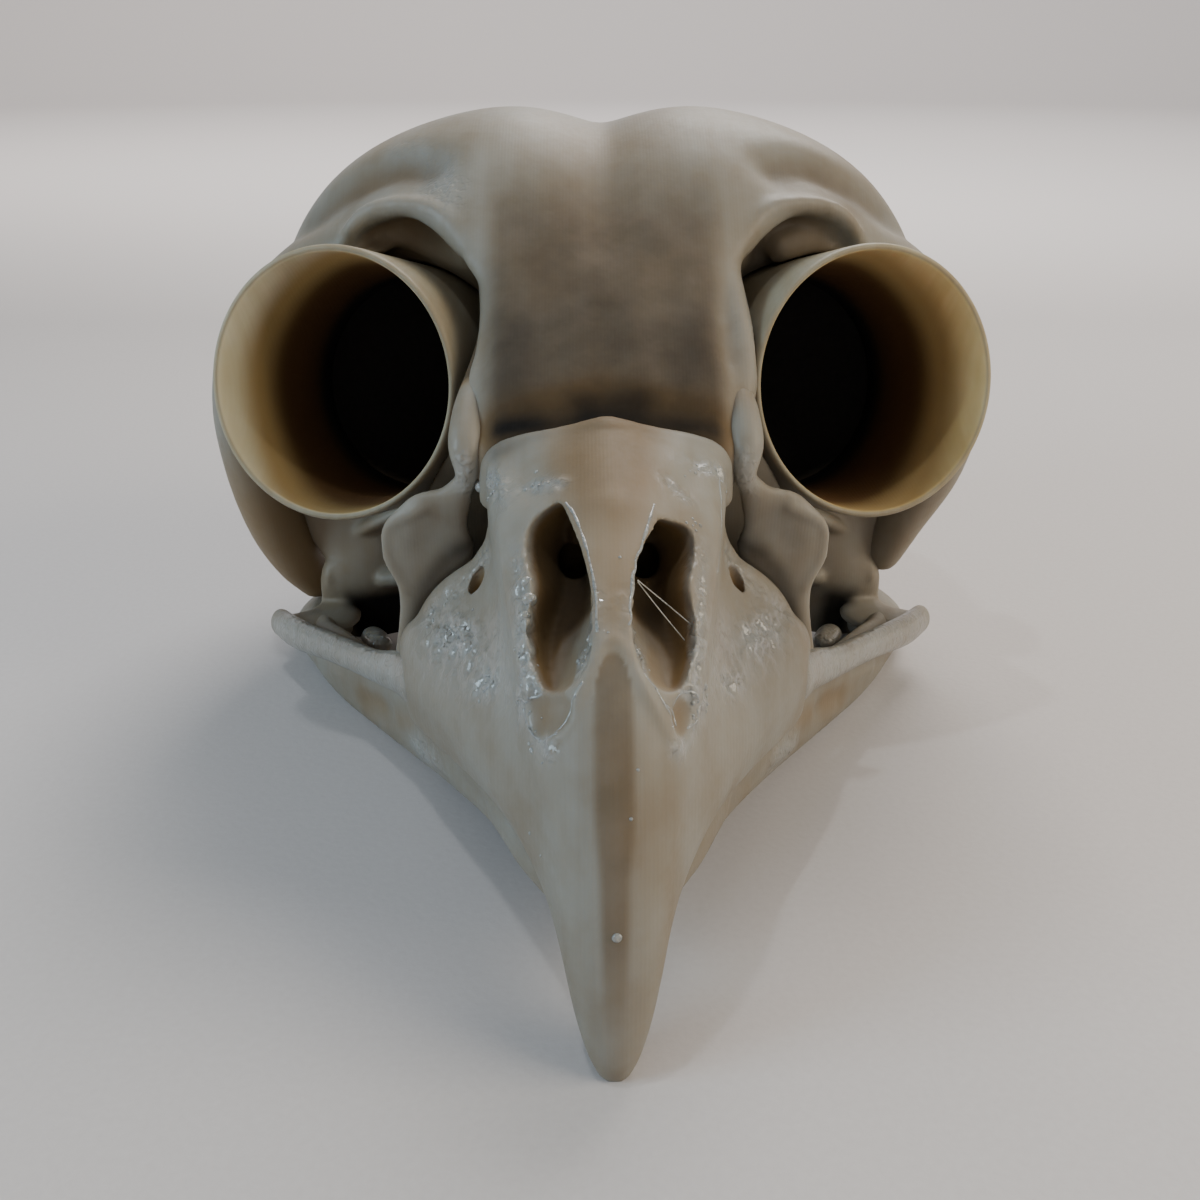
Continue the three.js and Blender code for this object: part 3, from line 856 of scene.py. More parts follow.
    def build(self, bench: Bench, tubes: Sequence[EyeTube]) -> bpy.types.Object:
        """Models and paints the cranium."""
        rough, even, sharp = self.voxels
        lumps = [bench.loft("vault", self.rings())]
        lumps.append(bench.ball((0, 88, 12.4), (3, 2.6, 2.2)))
        whole = bench.fused(bench.joined("cranium", lumps), rough, 2)
        skin = bench.skin(whole)
        hollows = [bench.ball(side.of(self.orbit_middle), self.orbit_radii) for side in Side]
        hollows.append(bench.ball((0, 90, 17), (3.5, 6, 3.3)))
        bench.carved(whole, hollows)
        processes = [whole]
        for side in Side:
            wing = self.wing if side is Side.RIGHT else self.left_wing
            processes += [bench.limb(path, ACROSS, side) for path in (wing, self.ear_wing)]
        bench.fused(bench.joined("cranium", processes), even, 5)
        bench.sculpted(whole, self.strokes)
        bench.carved(whole, [bench.limb(self.socket, self.sight, side) for side in Side])
        edges = [whole, bench.limb(self.left_brow, ACROSS), bench.limb(self.left_sill, self.sight)]
        for side in Side:
            edges += [bench.limb(path, UP, side) for path in (self.ledge, self.ledge_lip)]
            edges.append(bench.limb(self.brow, ACROSS, side))
        bench.fused(bench.joined("cranium", edges), sharp, 2)
        bench.carved(whole, [tube.room(bench) for tube in tubes])
        bench.fused(whole, even, 1)
        self.paint(bench, whole, tubes, skin)
        bench.mounted(whole, BONE_SLOT, "forehead", "braincase")
        return whole

    def rings(self) -> np.ndarray:
        """Cross sections from the forehead's front to the back of the head."""
        rows = np.asarray(self.vault)
        share = np.linspace(0, 1, 90)
        share = 0.35 * share + 0.325 * (1 - np.cos(share * math.pi))  # closer together at both ends
        back = rows[0, 0] + (rows[-1, 0] - rows[0, 0]) * share
        turn = np.linspace(0, 2 * math.pi, 128, endpoint=False)
        c, s = -np.cos(turn), np.sin(turn)
        rings = []
        for y, (half, top, wide, base, groove) in zip(back, bent(rows, back)):
            power = 2 / np.where(s > 0, *self.roundness)
            x = half * np.sign(c) * np.abs(c) ** power
            rise = np.where(s > 0, top - wide, base - wide) * np.abs(s) ** power
            dip = np.where(s > 0, groove, 0) * np.exp(-((x / self.groove_width) ** 2))
            rings.append(np.column_stack([x, np.full_like(x, y), wide + rise - dip]))
        return np.asarray(rings)

    def paint(self, bench: Bench, whole: bpy.types.Object, tubes: Sequence[EyeTube], skin: BVHTree) -> None:
        """Paints shade into the orbits, the hollows under the brows, the crease and the forehead, mottled, a
        painted glow into the hollows, and wet patches with a painted sheen along the brows.
        """
        points = bench.points(whole)
        x, y, z = points.T
        below = bench.depth(whole, skin)
        # painted shade in the hollows, by how deep they lie below the skin
        dark = 0.1 * eased(below, 1.5, 4.6)
        # painted glow in the hollows, stronger on the skull's right
        bench.painted(whole, Touch.GLOW_AND_WARMTH, np.where(x < 0, 0.65, 0.35) * eased(below, 0.4, 1.6))
        # painted shade, black, at the backs of the orbits behind the tubes
        for tube in tubes:
            from_front = points - tube.side.of(tube.front)
            depth = -(from_front @ tube.axis())
            radius = np.linalg.norm(from_front + depth[:, None] * tube.axis(), axis=1)
            dark += eased(below, 1, 3) * eased(depth, 13, 16) * eased(tube.rim + 0.5 - radius, 0, 1.0)
        bench.painted(whole, Touch.SHADE, dark)
        # painted shade and warmth over the forehead, darker towards its crease
        front = eased(50 - y, -4, 8) * eased(10.5 - np.abs(x), 0, 2.5)
        bench.painted(whole, Touch.SHADE, (0.54 + 0.1 * eased(42 - y, 0, 6)) * front)
        bench.painted(whole, Touch.GLOW_AND_WARMTH, 0.5 * front)
        # amber painted glow on the lower ends of the wings, stronger on the skull's right
        lower = eased(x**2, 26.0**2, 30.0**2) * eased(26 - z, 0, 10)
        lower *= np.where(x < 0, 0.75, 0.3)
        bench.painted(whole, Touch.GLOW_AND_WARMTH, lower * eased(66 - y, 0, 3))
        crease = (8.8, 32.8, 32.2), (4, 32.2, 34.2), (0, 32.4, 35.2)
        crown = (0, 47, 48.4), (2, 53, 52), (3, 59, 53.8)
        # painted warmth in the crease and down the front of the crown's groove
        bench.brushed(whole, Touch.GLOW_AND_WARMTH, [Stroke(crease, 2.2, 0.9)])
        bench.brushed(whole, Touch.GLOW_AND_WARMTH, [Stroke(crown, 4.6, 0.35, False)])
        # painted shade in the crease, the crown's groove, the forehead's dents and the valley behind the ledge
        bench.brushed(whole, Touch.SHADE, [
            Stroke(((8.2, 32.8, 32.4), (4, 32.0, 33.4), (0, 31.8, 34.0)), 1.1, 0.3),
            Stroke(((-1.4, 32.4, 34.8), (2.4, 32.6, 35.0)), 1.5, 0.28, False),
            Stroke(crown, 4.6, 0.2, False),
            Stroke(((-8.0, 33.0, 32.8), (-5.6, 32.6, 33.8)), 0.9, 0.1, False),
            Stroke(((6.5, 35, 36.6), (7.0, 38.4, 39.4)), 2.2, 0.16),
            Stroke(((1, 36, 38.8), (-1, 40, 42.4)), 2.2, 0.12, False),
            Stroke(((4, 44, 45.6), (8, 47, 47)), 2.6, 0.1),
            Stroke(((15, 53.4, 48.4), (18, 54.6, 48.4), (21.4, 55.6, 46.6), (25, 58.0, 43.4)), 2.2, 0.4),
        ])
        brow = (10.4, 47.4, 43.6), (8.6, 44.4, 40.2), (8.4, 41.4, 37.6), (9.2, 38.8, 35.4)
        # wet patches along the brows, glossy with a painted sheen
        bench.brushed(whole, Touch.WET, [
            Stroke(brow, 1.0, 0.4),
            Stroke(tuple(Side.RIGHT.of(p) for p in brow), 1.0, 0.5, False),
            Stroke(((-12.6, 50, 47.4), (-15.4, 53, 50.6), (-18.4, 56, 52)), 1.6, 0.6, False),
        ])
        bench.lumped(whole, Touch.WET, 0.3, 1.4)


@dataclass
class Face:
    """The bill and cheeks, with the nostrils, as one bone."""

    # culmen back and up, cutting edge back and up, half width above, half width below, reach, arch
    bill: tuple[Station, ...] = (
        (0.6, -1.2, 1.6, -1.2, 0.5, 0.5, 0.5, 0),
        (-0.1, -0.2, 1.9, -0.3, 0.95, 1.0, 0.5, 0),
        (-0.4, 1.0, 2.6, 0.8, 1.55, 1.6, 0.5, 0),
        (-0.4, 2.4, 3.4, 2.0, 2.05, 2.1, 0.5, 0),
        (-0.2, 4.4, 4.6, 3.4, 2.55, 2.7, 0.5, 0),
        (0.3, 8, 6.4, 6.2, 3.2, 3.5, 0.5, 0.3),
        (1.3, 12, 8.8, 8.2, 3.6, 4.5, 0.5, 0.8),
        (3.1, 16.4, 11.4, 9.6, 4.3, 5.9, 0.5, 1.2),
        (5.4, 20.4, 14.6, 10, 5.2, 7.5, 0.45, 1.5),
        (8.6, 24.2, 18.2, 9.8, 6, 9.3, 0.4, 1.8),
        (13, 27.6, 22, 9.4, 6.8, 11.4, 0.34, 2),
        (18.5, 30.3, 26, 9, 7.6, 13.8, 0.28, 2.2),
        (24.4, 32.2, 30, 8.8, 8.4, 16, 0.22, 2.2),
        (30.4, 33.4, 34, 9, 9.2, 17, 0.17, 2.2),
    )
    cheek: tuple[Station, ...] = (
        (7, 19, 13.4, 2.6, 2),
        (10.6, 26, 14, 3.8, 2.8),
        (13.2, 31.4, 14, 4, 3.2),
        (14.6, 34.2, 13.4, 3, 2.6),
    )
    lip: tuple[Station, ...] = (
        (0, 30.6, 32.5, 1.5, 1.3),
        (3.6, 31.0, 31.9, 1.4, 1.2),
        (6.4, 31.6, 31.2, 1.4, 1.1),
        (8.3, 32.2, 30.1, 1.3, 1.0),
        (8.7, 32.6, 27.0, 1.2, 0.9),
    )
    nostril: tuple[Point, ...] = (
        (3.4, 21.7, 30.9),
        (4.5, 21.6, 30.3),
        (5.4, 21.2, 29.6),
        (5.8, 20.2, 28.8),
        (5.8, 18.9, 28.1),
        (5.4, 17.4, 27.4),
        (5.1, 16.2, 26.7),
        (5.4, 15.0, 25.7),
        (5.6, 13.9, 24.8),
        (5.4, 12.7, 23.9),
        (4.9, 11.4, 23.2),
        (4.5, 10.3, 22.7),
        (3.9, 9.6, 22.7),
        (3.1, 8.9, 23.1),
        (2.2, 8.8, 23.9),
        (1.6, 9.4, 24.8),
        (1.3, 10.4, 25.7),
        (1.25, 11.9, 26.7),
        (1.3, 13.2, 27.5),
        (1.5, 14.6, 28.3),
        (1.8, 16.2, 29.0),
        (2.2, 17.8, 29.7),
        (2.7, 19.4, 30.3),
        (3.1, 20.8, 30.7),
    )
    # what the nostril's edge closes in on as it gets deeper: up, across, back, and how deep that is
    keel: tuple[Station, ...] = (
        (22.6, 4.0, 10.0, 1.3),
        (23.6, 4.7, 11.6, 2.6),
        (25.0, 4.9, 14.0, 3.8),
        (26.6, 4.5, 16.0, 4.8),
        (28.2, 4.2, 18.2, 5.4),
        (29.6, 4.0, 20.2, 4.6),
        (31.0, 3.8, 21.6, 3.2),
    )
    inward: Point = (-0.34, 0.82, -0.46)  # the way in which the nostril is deep
    septum: float = 0.7  # half the thickness of the wall between the nostrils
    hole: tuple[Station, ...] = (
        (2.7, 18.6, 27.3, 0.8, 0.75),
        (2.4, 22, 26.2, 1.2, 1.1),
        (2.6, 27, 24.4, 2.0, 1.7),
    )
    cheek_hole: tuple[Point, Point] = ((9.9, 29.2, 21.5), (0.8, 1.0, 1.8))
    # where the nostril was closed with a smooth floor below: a place on the skin, radius and depth
    pockets: tuple[tuple[Point, float, float], ...] = (
        ((-5.0, 9.4, 21.2), 1.7, 0.6),
        ((-4.2, 8.9, 21.6), 1.7, 0.6),
        ((-3.4, 8.5, 22.0), 1.5, 0.55),
        ((4.4, 9.2, 21.1), 1.6, 0.55),
    )
    strokes: tuple[Stroke, ...] = (
        Stroke(((0, 29, 33.3), (0, 25, 32.6), (0, 21, 31.4)), 2.6, 0.55),
        Stroke(((6.6, 28.6, 31.2), (5.6, 24.6, 31.0)), 1.5, -0.45),
        Stroke(((7.2, 24, 28.4), (7.0, 17, 25.4), (6.0, 11, 22)), 0.9, 0.3),
        Stroke(((10.0, 27.6, 22.6), (9.6, 22, 20.6)), 2.0, -0.35),
        Stroke(((3.4, 7.6, 20.6), (2.7, 8.0, 22.2), (1.9, 8.6, 23.6), (1.2, 9.6, 25.2)), 0.5, 0.25),
        Stroke(
            ((-1.0, 9.0, 24.0), (-0.75, 10.2, 25.3), (0, 10.8, 25.8), (0.75, 10.2, 25.3), (1.0, 9.0, 24.0)),
            0.35, 0.22, False,
        ),
    )
    cheek_top: tuple[Station, ...] = (
        (8.6, 30.6, 22.4, 1.4, 1.2),
        (10.4, 31.4, 21.0, 1.4, 1.2),
        (12.4, 32.4, 19.0, 1.6, 1.3),
        (14.0, 33.4, 16.6, 1.7, 1.3),
        (14.9, 34.0, 14.0, 1.6, 1.2),
    )

    voxels: tuple[float, float] = (0.28, 0.222)  # of the closed bill and of the cut one

    def build(self, bench: Bench) -> bpy.types.Object:
        """Models and paints the face."""
        closed, cut = self.voxels
        lumps = [bench.loft("bill", self.rings())]
        for side in Side:
            lumps += [bench.limb(self.cheek, ACROSS, side), bench.limb(self.lip, BACK, side)]
            lumps.append(bench.limb(self.cheek_top, ACROSS, side))
        whole = bench.fused(bench.joined("face", lumps), closed, 7)
        bench.sculpted(whole, self.strokes)
        skin = bench.skin(whole)
        cutters = [bench.ball((0, 2, -20), (30, 30, 20))]
        for side in Side:
            cutters += [
                bench.loft("nostril", self.chamber(side)),
                bench.limb(self.hole, ACROSS, side),
                bench.ball(side.of(self.cheek_hole[0]), self.cheek_hole[1]),
            ]
        cutters += [self.dent(bench, skin, *pocket) for pocket in self.pockets]
        bench.carved(whole, cutters)
        bench.fused(whole, cut, 2)
        inside = bench.depth(whole, skin) * (bench.points(whole)[:, 2] > 12)
        bench.smoothed(whole, 18, eased(inside, 0.25, 1.2))
        self.paint(bench, whole, inside)
        bench.lumped(whole, Touch.WET, 0.45, 1.0)
        bench.grounded(whole)
        bench.mounted(whole, BONE_SLOT, "bill")
        return whole

    def chamber(self, side: Side) -> np.ndarray:
        """The nostril's room: its edge, carried out of the bill, and into it towards the keel."""
        edge = smooth_line([*self.nostril, self.nostril[0]], 97)[:-1]
        if side is Side.LEFT:
            edge -= eased(edge[:, 2:], 28.6, 31.2) * (0, 1.8, 0.6)
        keel = bent(np.asarray(self.keel), edge[:, 2])
        target = np.column_stack([keel[:, :2], edge[:, 2]])
        inward = np.asarray(self.inward) / np.linalg.norm(self.inward)
        middle = edge.mean(0)
        rings = [middle + (edge - middle) * 1.06 - inward * 1.6]
        for share in (0, 0.1, 0.24, 0.4, 0.56, 0.7):
            ring = edge + (target - edge) * share
            ring += inward * keel[:, 2:] * (1 - (1 - share) ** 2.4)
            ring[:, 0] = np.maximum(ring[:, 0], self.septum)
            rings.append(ring)
        rings = np.asarray(rings)
        return rings if side is Side.LEFT else (rings * (-1, 1, 1))[:, ::-1]

    def dent(
        self, bench: Bench, skin: BVHTree, place: Point, radius: float, depth: float
    ) -> bpy.types.Object:
        """A cutter for a shallow round dent in the skin."""
        nearest, normal = skin.find_nearest(bench.at(place))[:2]
        ball = (radius**2 + depth**2) / (2 * depth)
        middle = (nearest - bench.origin) / MM + normal * (ball - depth)
        return bench.ball(middle, (ball, ball, ball))

    def rings(self) -> np.ndarray:
        """Cross sections from the tip to the hinge with the forehead."""
        rows = smooth_line(self.bill, 100)
        rings = []
        for top_y, top_z, low_y, low_z, shoulder, edge, reach, arch in rows:
            top, low = np.array([0, top_y, top_z]), np.array([0, low_y, low_z])
            down = (low - top) / np.linalg.norm(low - top)
            share = np.linspace(0, 1, 40) ** 1.5
            rise = np.minimum(share / reach, 1)
            width = shoulder * np.sqrt(1 - (1 - rise) ** 2)
            width += (edge - shoulder) * eased(share, 0.3, 0.85)
            left = top + share[:, None] * (low - top)
            left[:, 0] = width
            x = np.linspace(1, -1, 26)[1:-1]
            palate = low - down * (arch * (1 - x * x))[:, None]
            palate[:, 0] = x * width[-1]
            right = left[:0:-1] * (-1, 1, 1)
            rings.append(np.vstack([left, palate, right]))
        return np.asarray(rings)

    def paint(self, bench: Bench, whole: bpy.types.Object, inside: np.ndarray) -> None:
        """Paints the stripe down the bill, painted glow and shade into the nostrils by how deep they are,
        painted shade into creases and dents, and the melted patches with their painted sheen.
        """
        x, y, z = bench.points(whole).T
        across = np.abs(x)
        half = np.interp(z, [0, 8, 14, 17, 26], [0.3, 0.7, 0.85, 1.15, 1.1])
        stripe = eased(half + 0.4 - across, 0, 0.7) * eased(25.5 - 1.1 * across**3 - z, 0, 0.35)
        stripe *= eased(-bench.normals(whole)[:, 1], 0.1, 0.4) * eased(z, 3, 11)
        bench.painted(whole, Touch.GLOW_AND_WARMTH, 0.45 * stripe)
        bench.painted(whole, Touch.SHADE, 0.33 * stripe)
        # painted glow on the bar between the nostrils, with painted shade near its top
        bar = np.interp(z, [22, 26, 28, 31, 33], [0.4, 1.0, 1.6, 3.2, 4.0])
        bar = eased(bar + 2 - across, 0, 4) * eased(z, 24.5, 27)
        bench.painted(whole, Touch.GLOW_AND_WARMTH, (0.55 + 0.2 * eased(z, 29.6, 32)) * bar)
        bench.painted(whole, Touch.SHADE, 0.25 * bar * eased(z, 29.6, 32.6))
        # painted shade along the top edge, under the forehead's crease
        bench.painted(whole, Touch.SHADE, 0.3 * eased(y, 31.0, 33.4) * eased(12 - across**2 / 8, 0, 4))
        # painted glow and painted shade inside the nostrils, by how deep they are, less on the septum
        slant = 0.42 * y + 0.91 * z + across
        outer = eased(across, 3.2, 4.4) + eased(slant, 30.2, 31.4)  # off the septum
        bench.painted(whole, Touch.GLOW_AND_WARMTH, eased(inside, 0.3, 1.2) * np.clip(outer, 0.2, 1))
        shade = 0.45 * eased(inside, 0.4, 2.4) + 0.3 * eased(inside, 2.0, 4.0)
        shade *= np.clip(outer, 0.3, 1) * eased(z, 20.4, 24.0)
        bench.painted(whole, Touch.SHADE, shade + eased(inside, 4.6, 5.6))
        # painted shade and warmth on the floors of the dents
        pocket = eased(inside, 0.15, 0.35) * eased(23.6 - z, 0, 0.6)
        bench.painted(whole, Touch.SHADE, 0.07 * pocket)
        bench.painted(whole, Touch.GLOW_AND_WARMTH, 0.35 * pocket)
        # melted patches, glossy and lumpy, with a painted sheen
        bench.brushed(whole, Touch.WET, [
            Stroke(((6.0, 21, 27.8), (5.9, 17.6, 26.4), (5.4, 12, 22.8), (4.6, 9.6, 21.4)), 0.7, 0.9),
            Stroke(((10.6, 24.4, 18.8), (12.2, 27.6, 18)), 1.5, 0.75),
            Stroke(((8.2, 17.8, 18.8), (9.0, 19.4, 17.8)), 1.0, 0.7),
            Stroke(((1.6, 13.4, 26.2), (2.3, 11.0, 24.0)), 1.3, 1.0),
            Stroke(((3.9, 7.4, 19.8), (5.4, 8.8, 19.8), (6.6, 11.6, 20.4)), 0.7, 0.8),
            Stroke(((9.6, 21.4, 19.0), (12.6, 28.6, 17.4)), 2.4, 0.3),
            Stroke(((-10, 22, 17.6), (-12.8, 29, 15.6)), 3.0, 0.2, False),
            Stroke(((7.6, 15.6, 20.6), (8.6, 20.4, 21.6)), 2.2, 0.35),
            Stroke(((9.0, 29.6, 23.4), (10.6, 30.4, 20.4), (13.0, 31.4, 17.8)), 1.3, 0.6),
            Stroke(((-8.9, 30, 30), (-7.4, 27, 29.4), (-6.2, 24, 28.1)), 0.9, 1.0, False),
            Stroke(((-5.8, 26, 29.8), (-4.6, 25, 30.8), (-3.5, 23.6, 31.2)), 0.7, 1.0, False),
            Stroke(((4.5, 28, 30.8), (8.3, 29.4, 30.2)), 0.8, 1.0, False),
            Stroke(((4.2, 24.6, 31.0), (5.4, 23.6, 30.4)), 0.8, 0.6, False),
            Stroke(((6.2, 12.4, 21), (6.6, 11.8, 19.6)), 0.8, 0.8),
            Stroke(((13.6, 31, 17), (14.4, 32.4, 15.4)), 1.2, 0.5),
        ])
        bench.painted(whole, Touch.WET, -pocket - eased(inside, 3.4, 4.2))
        # painted shade in the groove under the plate and at the crease's end, and darker on the skull's right
        # cheek
        bench.brushed(whole, Touch.SHADE, [
            Stroke(((9.6, 33.2, 22.8), (12.7, 33.6, 21.1), (14.9, 34.2, 18.0), (16.4, 34.8, 13.4)), 0.8, 0.4),
            Stroke(((-8.4, 31.2, 31.4), (-5.0, 30.8, 32.4)), 0.9, 0.34, False),
            Stroke(((9, 21, 19.4), (12, 28, 18.2)), 3.0, 0.12, False),
            Stroke(((10, 22, 15.4), (12.6, 28, 14.8)), 3.0, 0.13, False),
        ])


@dataclass
class Lacrimal:
    """The knob in front of an eye and the plate that hangs from it."""

    side: Side
    knob: tuple[Station, ...] = (
        (8.9, 43.0, 39.2, 1.1, 0.7),
        (9.1, 40.4, 36.9, 1.35, 0.9),
        (9.8, 38.2, 35.2, 1.3, 1.0),
        (10.4, 36.4, 34.0, 1.25, 1.15),
        (10.7, 34.9, 32.9, 1.3, 1.25),
        (10.8, 33.5, 31.2, 1.4, 1.35),
        (10.7, 32.9, 29.6, 1.1, 1.1),
        (10.8, 33.0, 28.2, 0.7, 0.8),
    )
    plate: tuple[Station, ...] = (
        (10.9, 33.0, 28.6, 0.7, 0.8),
        (11.9, 33.5, 26.8, 1.5, 0.8),
        (13.3, 34.0, 25.0, 3.0, 0.8),
        (14.2, 34.5, 22.8, 3.8, 0.8),
        (14.9, 34.9, 20.8, 3.2, 0.8),
        (15.3, 35.2, 19.0, 2.0, 0.8),
        (15.8, 35.4, 17.0, 1.3, 0.9),
        (16.3, 35.4, 14.8, 1.0, 0.9),
        (16.8, 35.3, 12.6, 0.9, 0.9),
    )
    wall: tuple[Station, ...] = (
        (8.0, 37.8, 30.5, 2.6, 0.6),
        (9.8, 38.2, 27.0, 3.6, 0.6),
        (11.4, 38.4, 23.0, 4.0, 0.6),
        (12.6, 38.4, 19.0, 3.6, 0.6),
        (13.8, 38.4, 15.4, 2.6, 0.6),
    )
    strokes: tuple[Stroke, ...] = (
        Stroke(((13.2, 33.4, 25.2), (14.4, 34, 22.8)), 1.5, -0.35),
        Stroke(
            ((14.6, 33.4, 26.0), (17.4, 34, 24.4), (18.0, 34.4, 22.4), (17.4, 34.6, 20.4), (16.4, 34.8, 18.6)),
            0.5, 0.3,
        ),
    )

    voxels: tuple[float, float] = (0.22, 0.2)  # of the knob and plate, and with the wall

    def build(self, bench: Bench, tube: EyeTube) -> bpy.types.Object:
        """Models and paints the lacrimal."""
        lumps = [bench.limb(path, BACK, self.side) for path in (self.knob, self.plate)]
        name = "lacrimal_" + self.side.word
        whole = bench.fused(bench.joined(name + "_plate", lumps), self.voxels[0], 6)
        bench.sculpted(whole, self.strokes)
        wall = bench.limb(self.wall, BACK, self.side)
        bench.fused(bench.joined(name + "_plate", [whole, wall]), self.voxels[1], 3)
        bench.carved(whole, [tube.room(bench, 0.05, 1.0)])
        bench.smoothed(whole, 2)
        backing_shade = 0.7 if self.side is Side.RIGHT else 0.2  # painted shade and glow on the wall behind the plate, deeper on the right
        back = bench.points(whole)[:, 1]
        bench.painted(whole, Touch.SHADE, backing_shade * eased(back, 36.4, 37.4))
        bench.painted(whole, Touch.GLOW_AND_WARMTH, backing_shade * eased(back, 36.0, 37.0))
        groove = (9.9, 34, 23.0), (11.0, 34, 22.7), (13.0, 34.2, 21.4), (14.8, 34.6, 18.6), (16.5, 35, 13.3)
        # painted shade in the groove between the plate and the cheek, and in the plate's hollow
        bench.brushed(whole, Touch.SHADE, [
            Stroke(((12.0, 33.4, 25.0), (12.6, 34, 23.0)), 1.8, 0.2),
            Stroke(groove, 0.8, 0.5),
        ])
        # a wet patch on the knob, with a painted sheen
        bench.brushed(whole, Touch.WET, [Stroke(((10.7, 32, 30), (10.6, 32, 28.4)), 1.2, 0.6)])
        bench.mounted(whole, BONE_SLOT, name)
        return whole


@dataclass
class SideBones:
    """The jugal bar, quadrate and pterygoid of one side, fused as they are printed."""

    side: Side
    jugal: tuple[Station, ...] = (
        (15.4, 31.5, 11.6, 2.2, 1.6),
        (17.4, 34.6, 10.9, 1.9, 1.2),
        (20.2, 38.4, 9.6, 1.5, 1),
        (25.2, 45.4, 7.8, 1.45, 0.95),
        (30, 52, 6.0, 1.6, 1.1),
        (32.6, 56.2, 5.2, 1.5, 1.1),
    )
    quadrate: tuple[Station, ...] = (
        (26.4, 63.6, 20, 6.8, 1.8),
        (25.6, 62.4, 14.6, 5.4, 1.7),
        (24.7, 61.0, 10.4, 3.9, 1.6),
        (25.0, 60.4, 8.0, 4.2, 1.5),
        (24.6, 61.6, 5.2, 5.0, 1.2),
        (24.4, 62.2, 3.2, 4.8, 1.0),
        (24.2, 62.6, 1.4, 4.4, 0.9),
    )
    prong: tuple[Station, ...] = (
        (25, 62, 12.8, 1.6, 1),
        (21.4, 59.4, 15.4, 1.7, 0.8),
        (18.6, 57.6, 17.2, 1, 0.7),
    )
    pterygoid: tuple[Station, ...] = (
        (4.2, 54.6, 12.4, 1.5, 1),
        (12, 57.2, 10.6, 1.3, 1),
        (22.2, 60, 8.6, 1.6, 1.1),
    )
    shelf: tuple[Station, ...] = (
        (32.4, 56.4, 4.8, 1.4, 0.9),
        (30.2, 56.8, 4.8, 2.4, 0.9),
        (28.0, 57.8, 4.8, 3.0, 0.9),
        (27.2, 59.6, 5.0, 2.6, 0.9),
    )
    stub: tuple[Station, ...] = (
        (21.4, 49.0, 6.2, 1.2, 0.9),
        (22.4, 51.6, 5.6, 1.3, 1.0),
        (23.0, 53.8, 4.8, 1.2, 1.0),
    )

    voxel: float = 0.26

    def build(self, bench: Bench) -> bpy.types.Object:
        """Models and paints the bones."""
        lumps = [bench.limb(self.jugal, ACROSS, self.side), bench.limb(self.quadrate, BACK, self.side)]
        for path in (self.prong, self.pterygoid, self.shelf, self.stub):
            lumps.append(bench.limb(path, UP, self.side))
        lumps.append(bench.ball(self.side.of((27.9, 60.3, 8.6)), (0.9, 1.2, 1.5)))
        name = "side_bones_" + self.side.word
        whole = bench.fused(bench.joined(name, lumps), self.voxel, 8)
        x, y, z = bench.points(whole).T
        across = np.abs(x)
        hollow_shade = eased(27.2 - across, 0, 1.4)  # painted shade in the room inside of the quadrate
        if self.side is Side.LEFT:
            hollow_shade *= 0.9 * eased(across, 22.4, 24.4)
        hind = eased(y, 57.5, 60)
        bench.painted(whole, Touch.SHADE, hollow_shade * hind * eased(8.4 - z, 0, 2.4))
        bench.painted(whole, Touch.GLOW_AND_WARMTH, 0.25 * hind)
        # a wet sheen along the jugal bar, painted paler and bluer
        bench.painted(whole, Touch.WET, 0.5 * eased(56.4 - y, 0, 3))
        bones = [bone + self.side.word for bone in ("jugal_", "quadrate_", "pterygoid_")]
        bench.mounted(whole, BONE_SLOT, *bones)
        return whole


@dataclass
class Palate:
    """The palatines and the rod between them."""

    palatine: tuple[Station, ...] = (
        (4.8, 28.6, 12, 1.8, 0.8),
        (6.2, 36, 11.6, 2.2, 0.7),
        (8, 43, 11.2, 4.2, 0.7),
        (7.6, 49, 11.6, 4, 0.7),
        (4.4, 53.8, 12.4, 1.6, 0.8),
    )
    rostrum: tuple[Station, ...] = (
        (0, 31, 16, 1.2, 1.5),
        (0, 44, 14.8, 1.4, 1.9),
        (0, 60, 13.6, 2.6, 2.6),
    )

    voxel: float = 0.32

    def build(self, bench: Bench) -> bpy.types.Object:
        """Models the palate."""
        lumps = [bench.limb(self.palatine, UP, side) for side in Side]
        lumps.append(bench.limb(self.rostrum, ACROSS))
        whole = bench.fused(bench.joined("palate", lumps), self.voxel, 5)
        bench.mounted(whole, BONE_SLOT, "palatine_left", "palatine_right", "rostrum")
        return whole


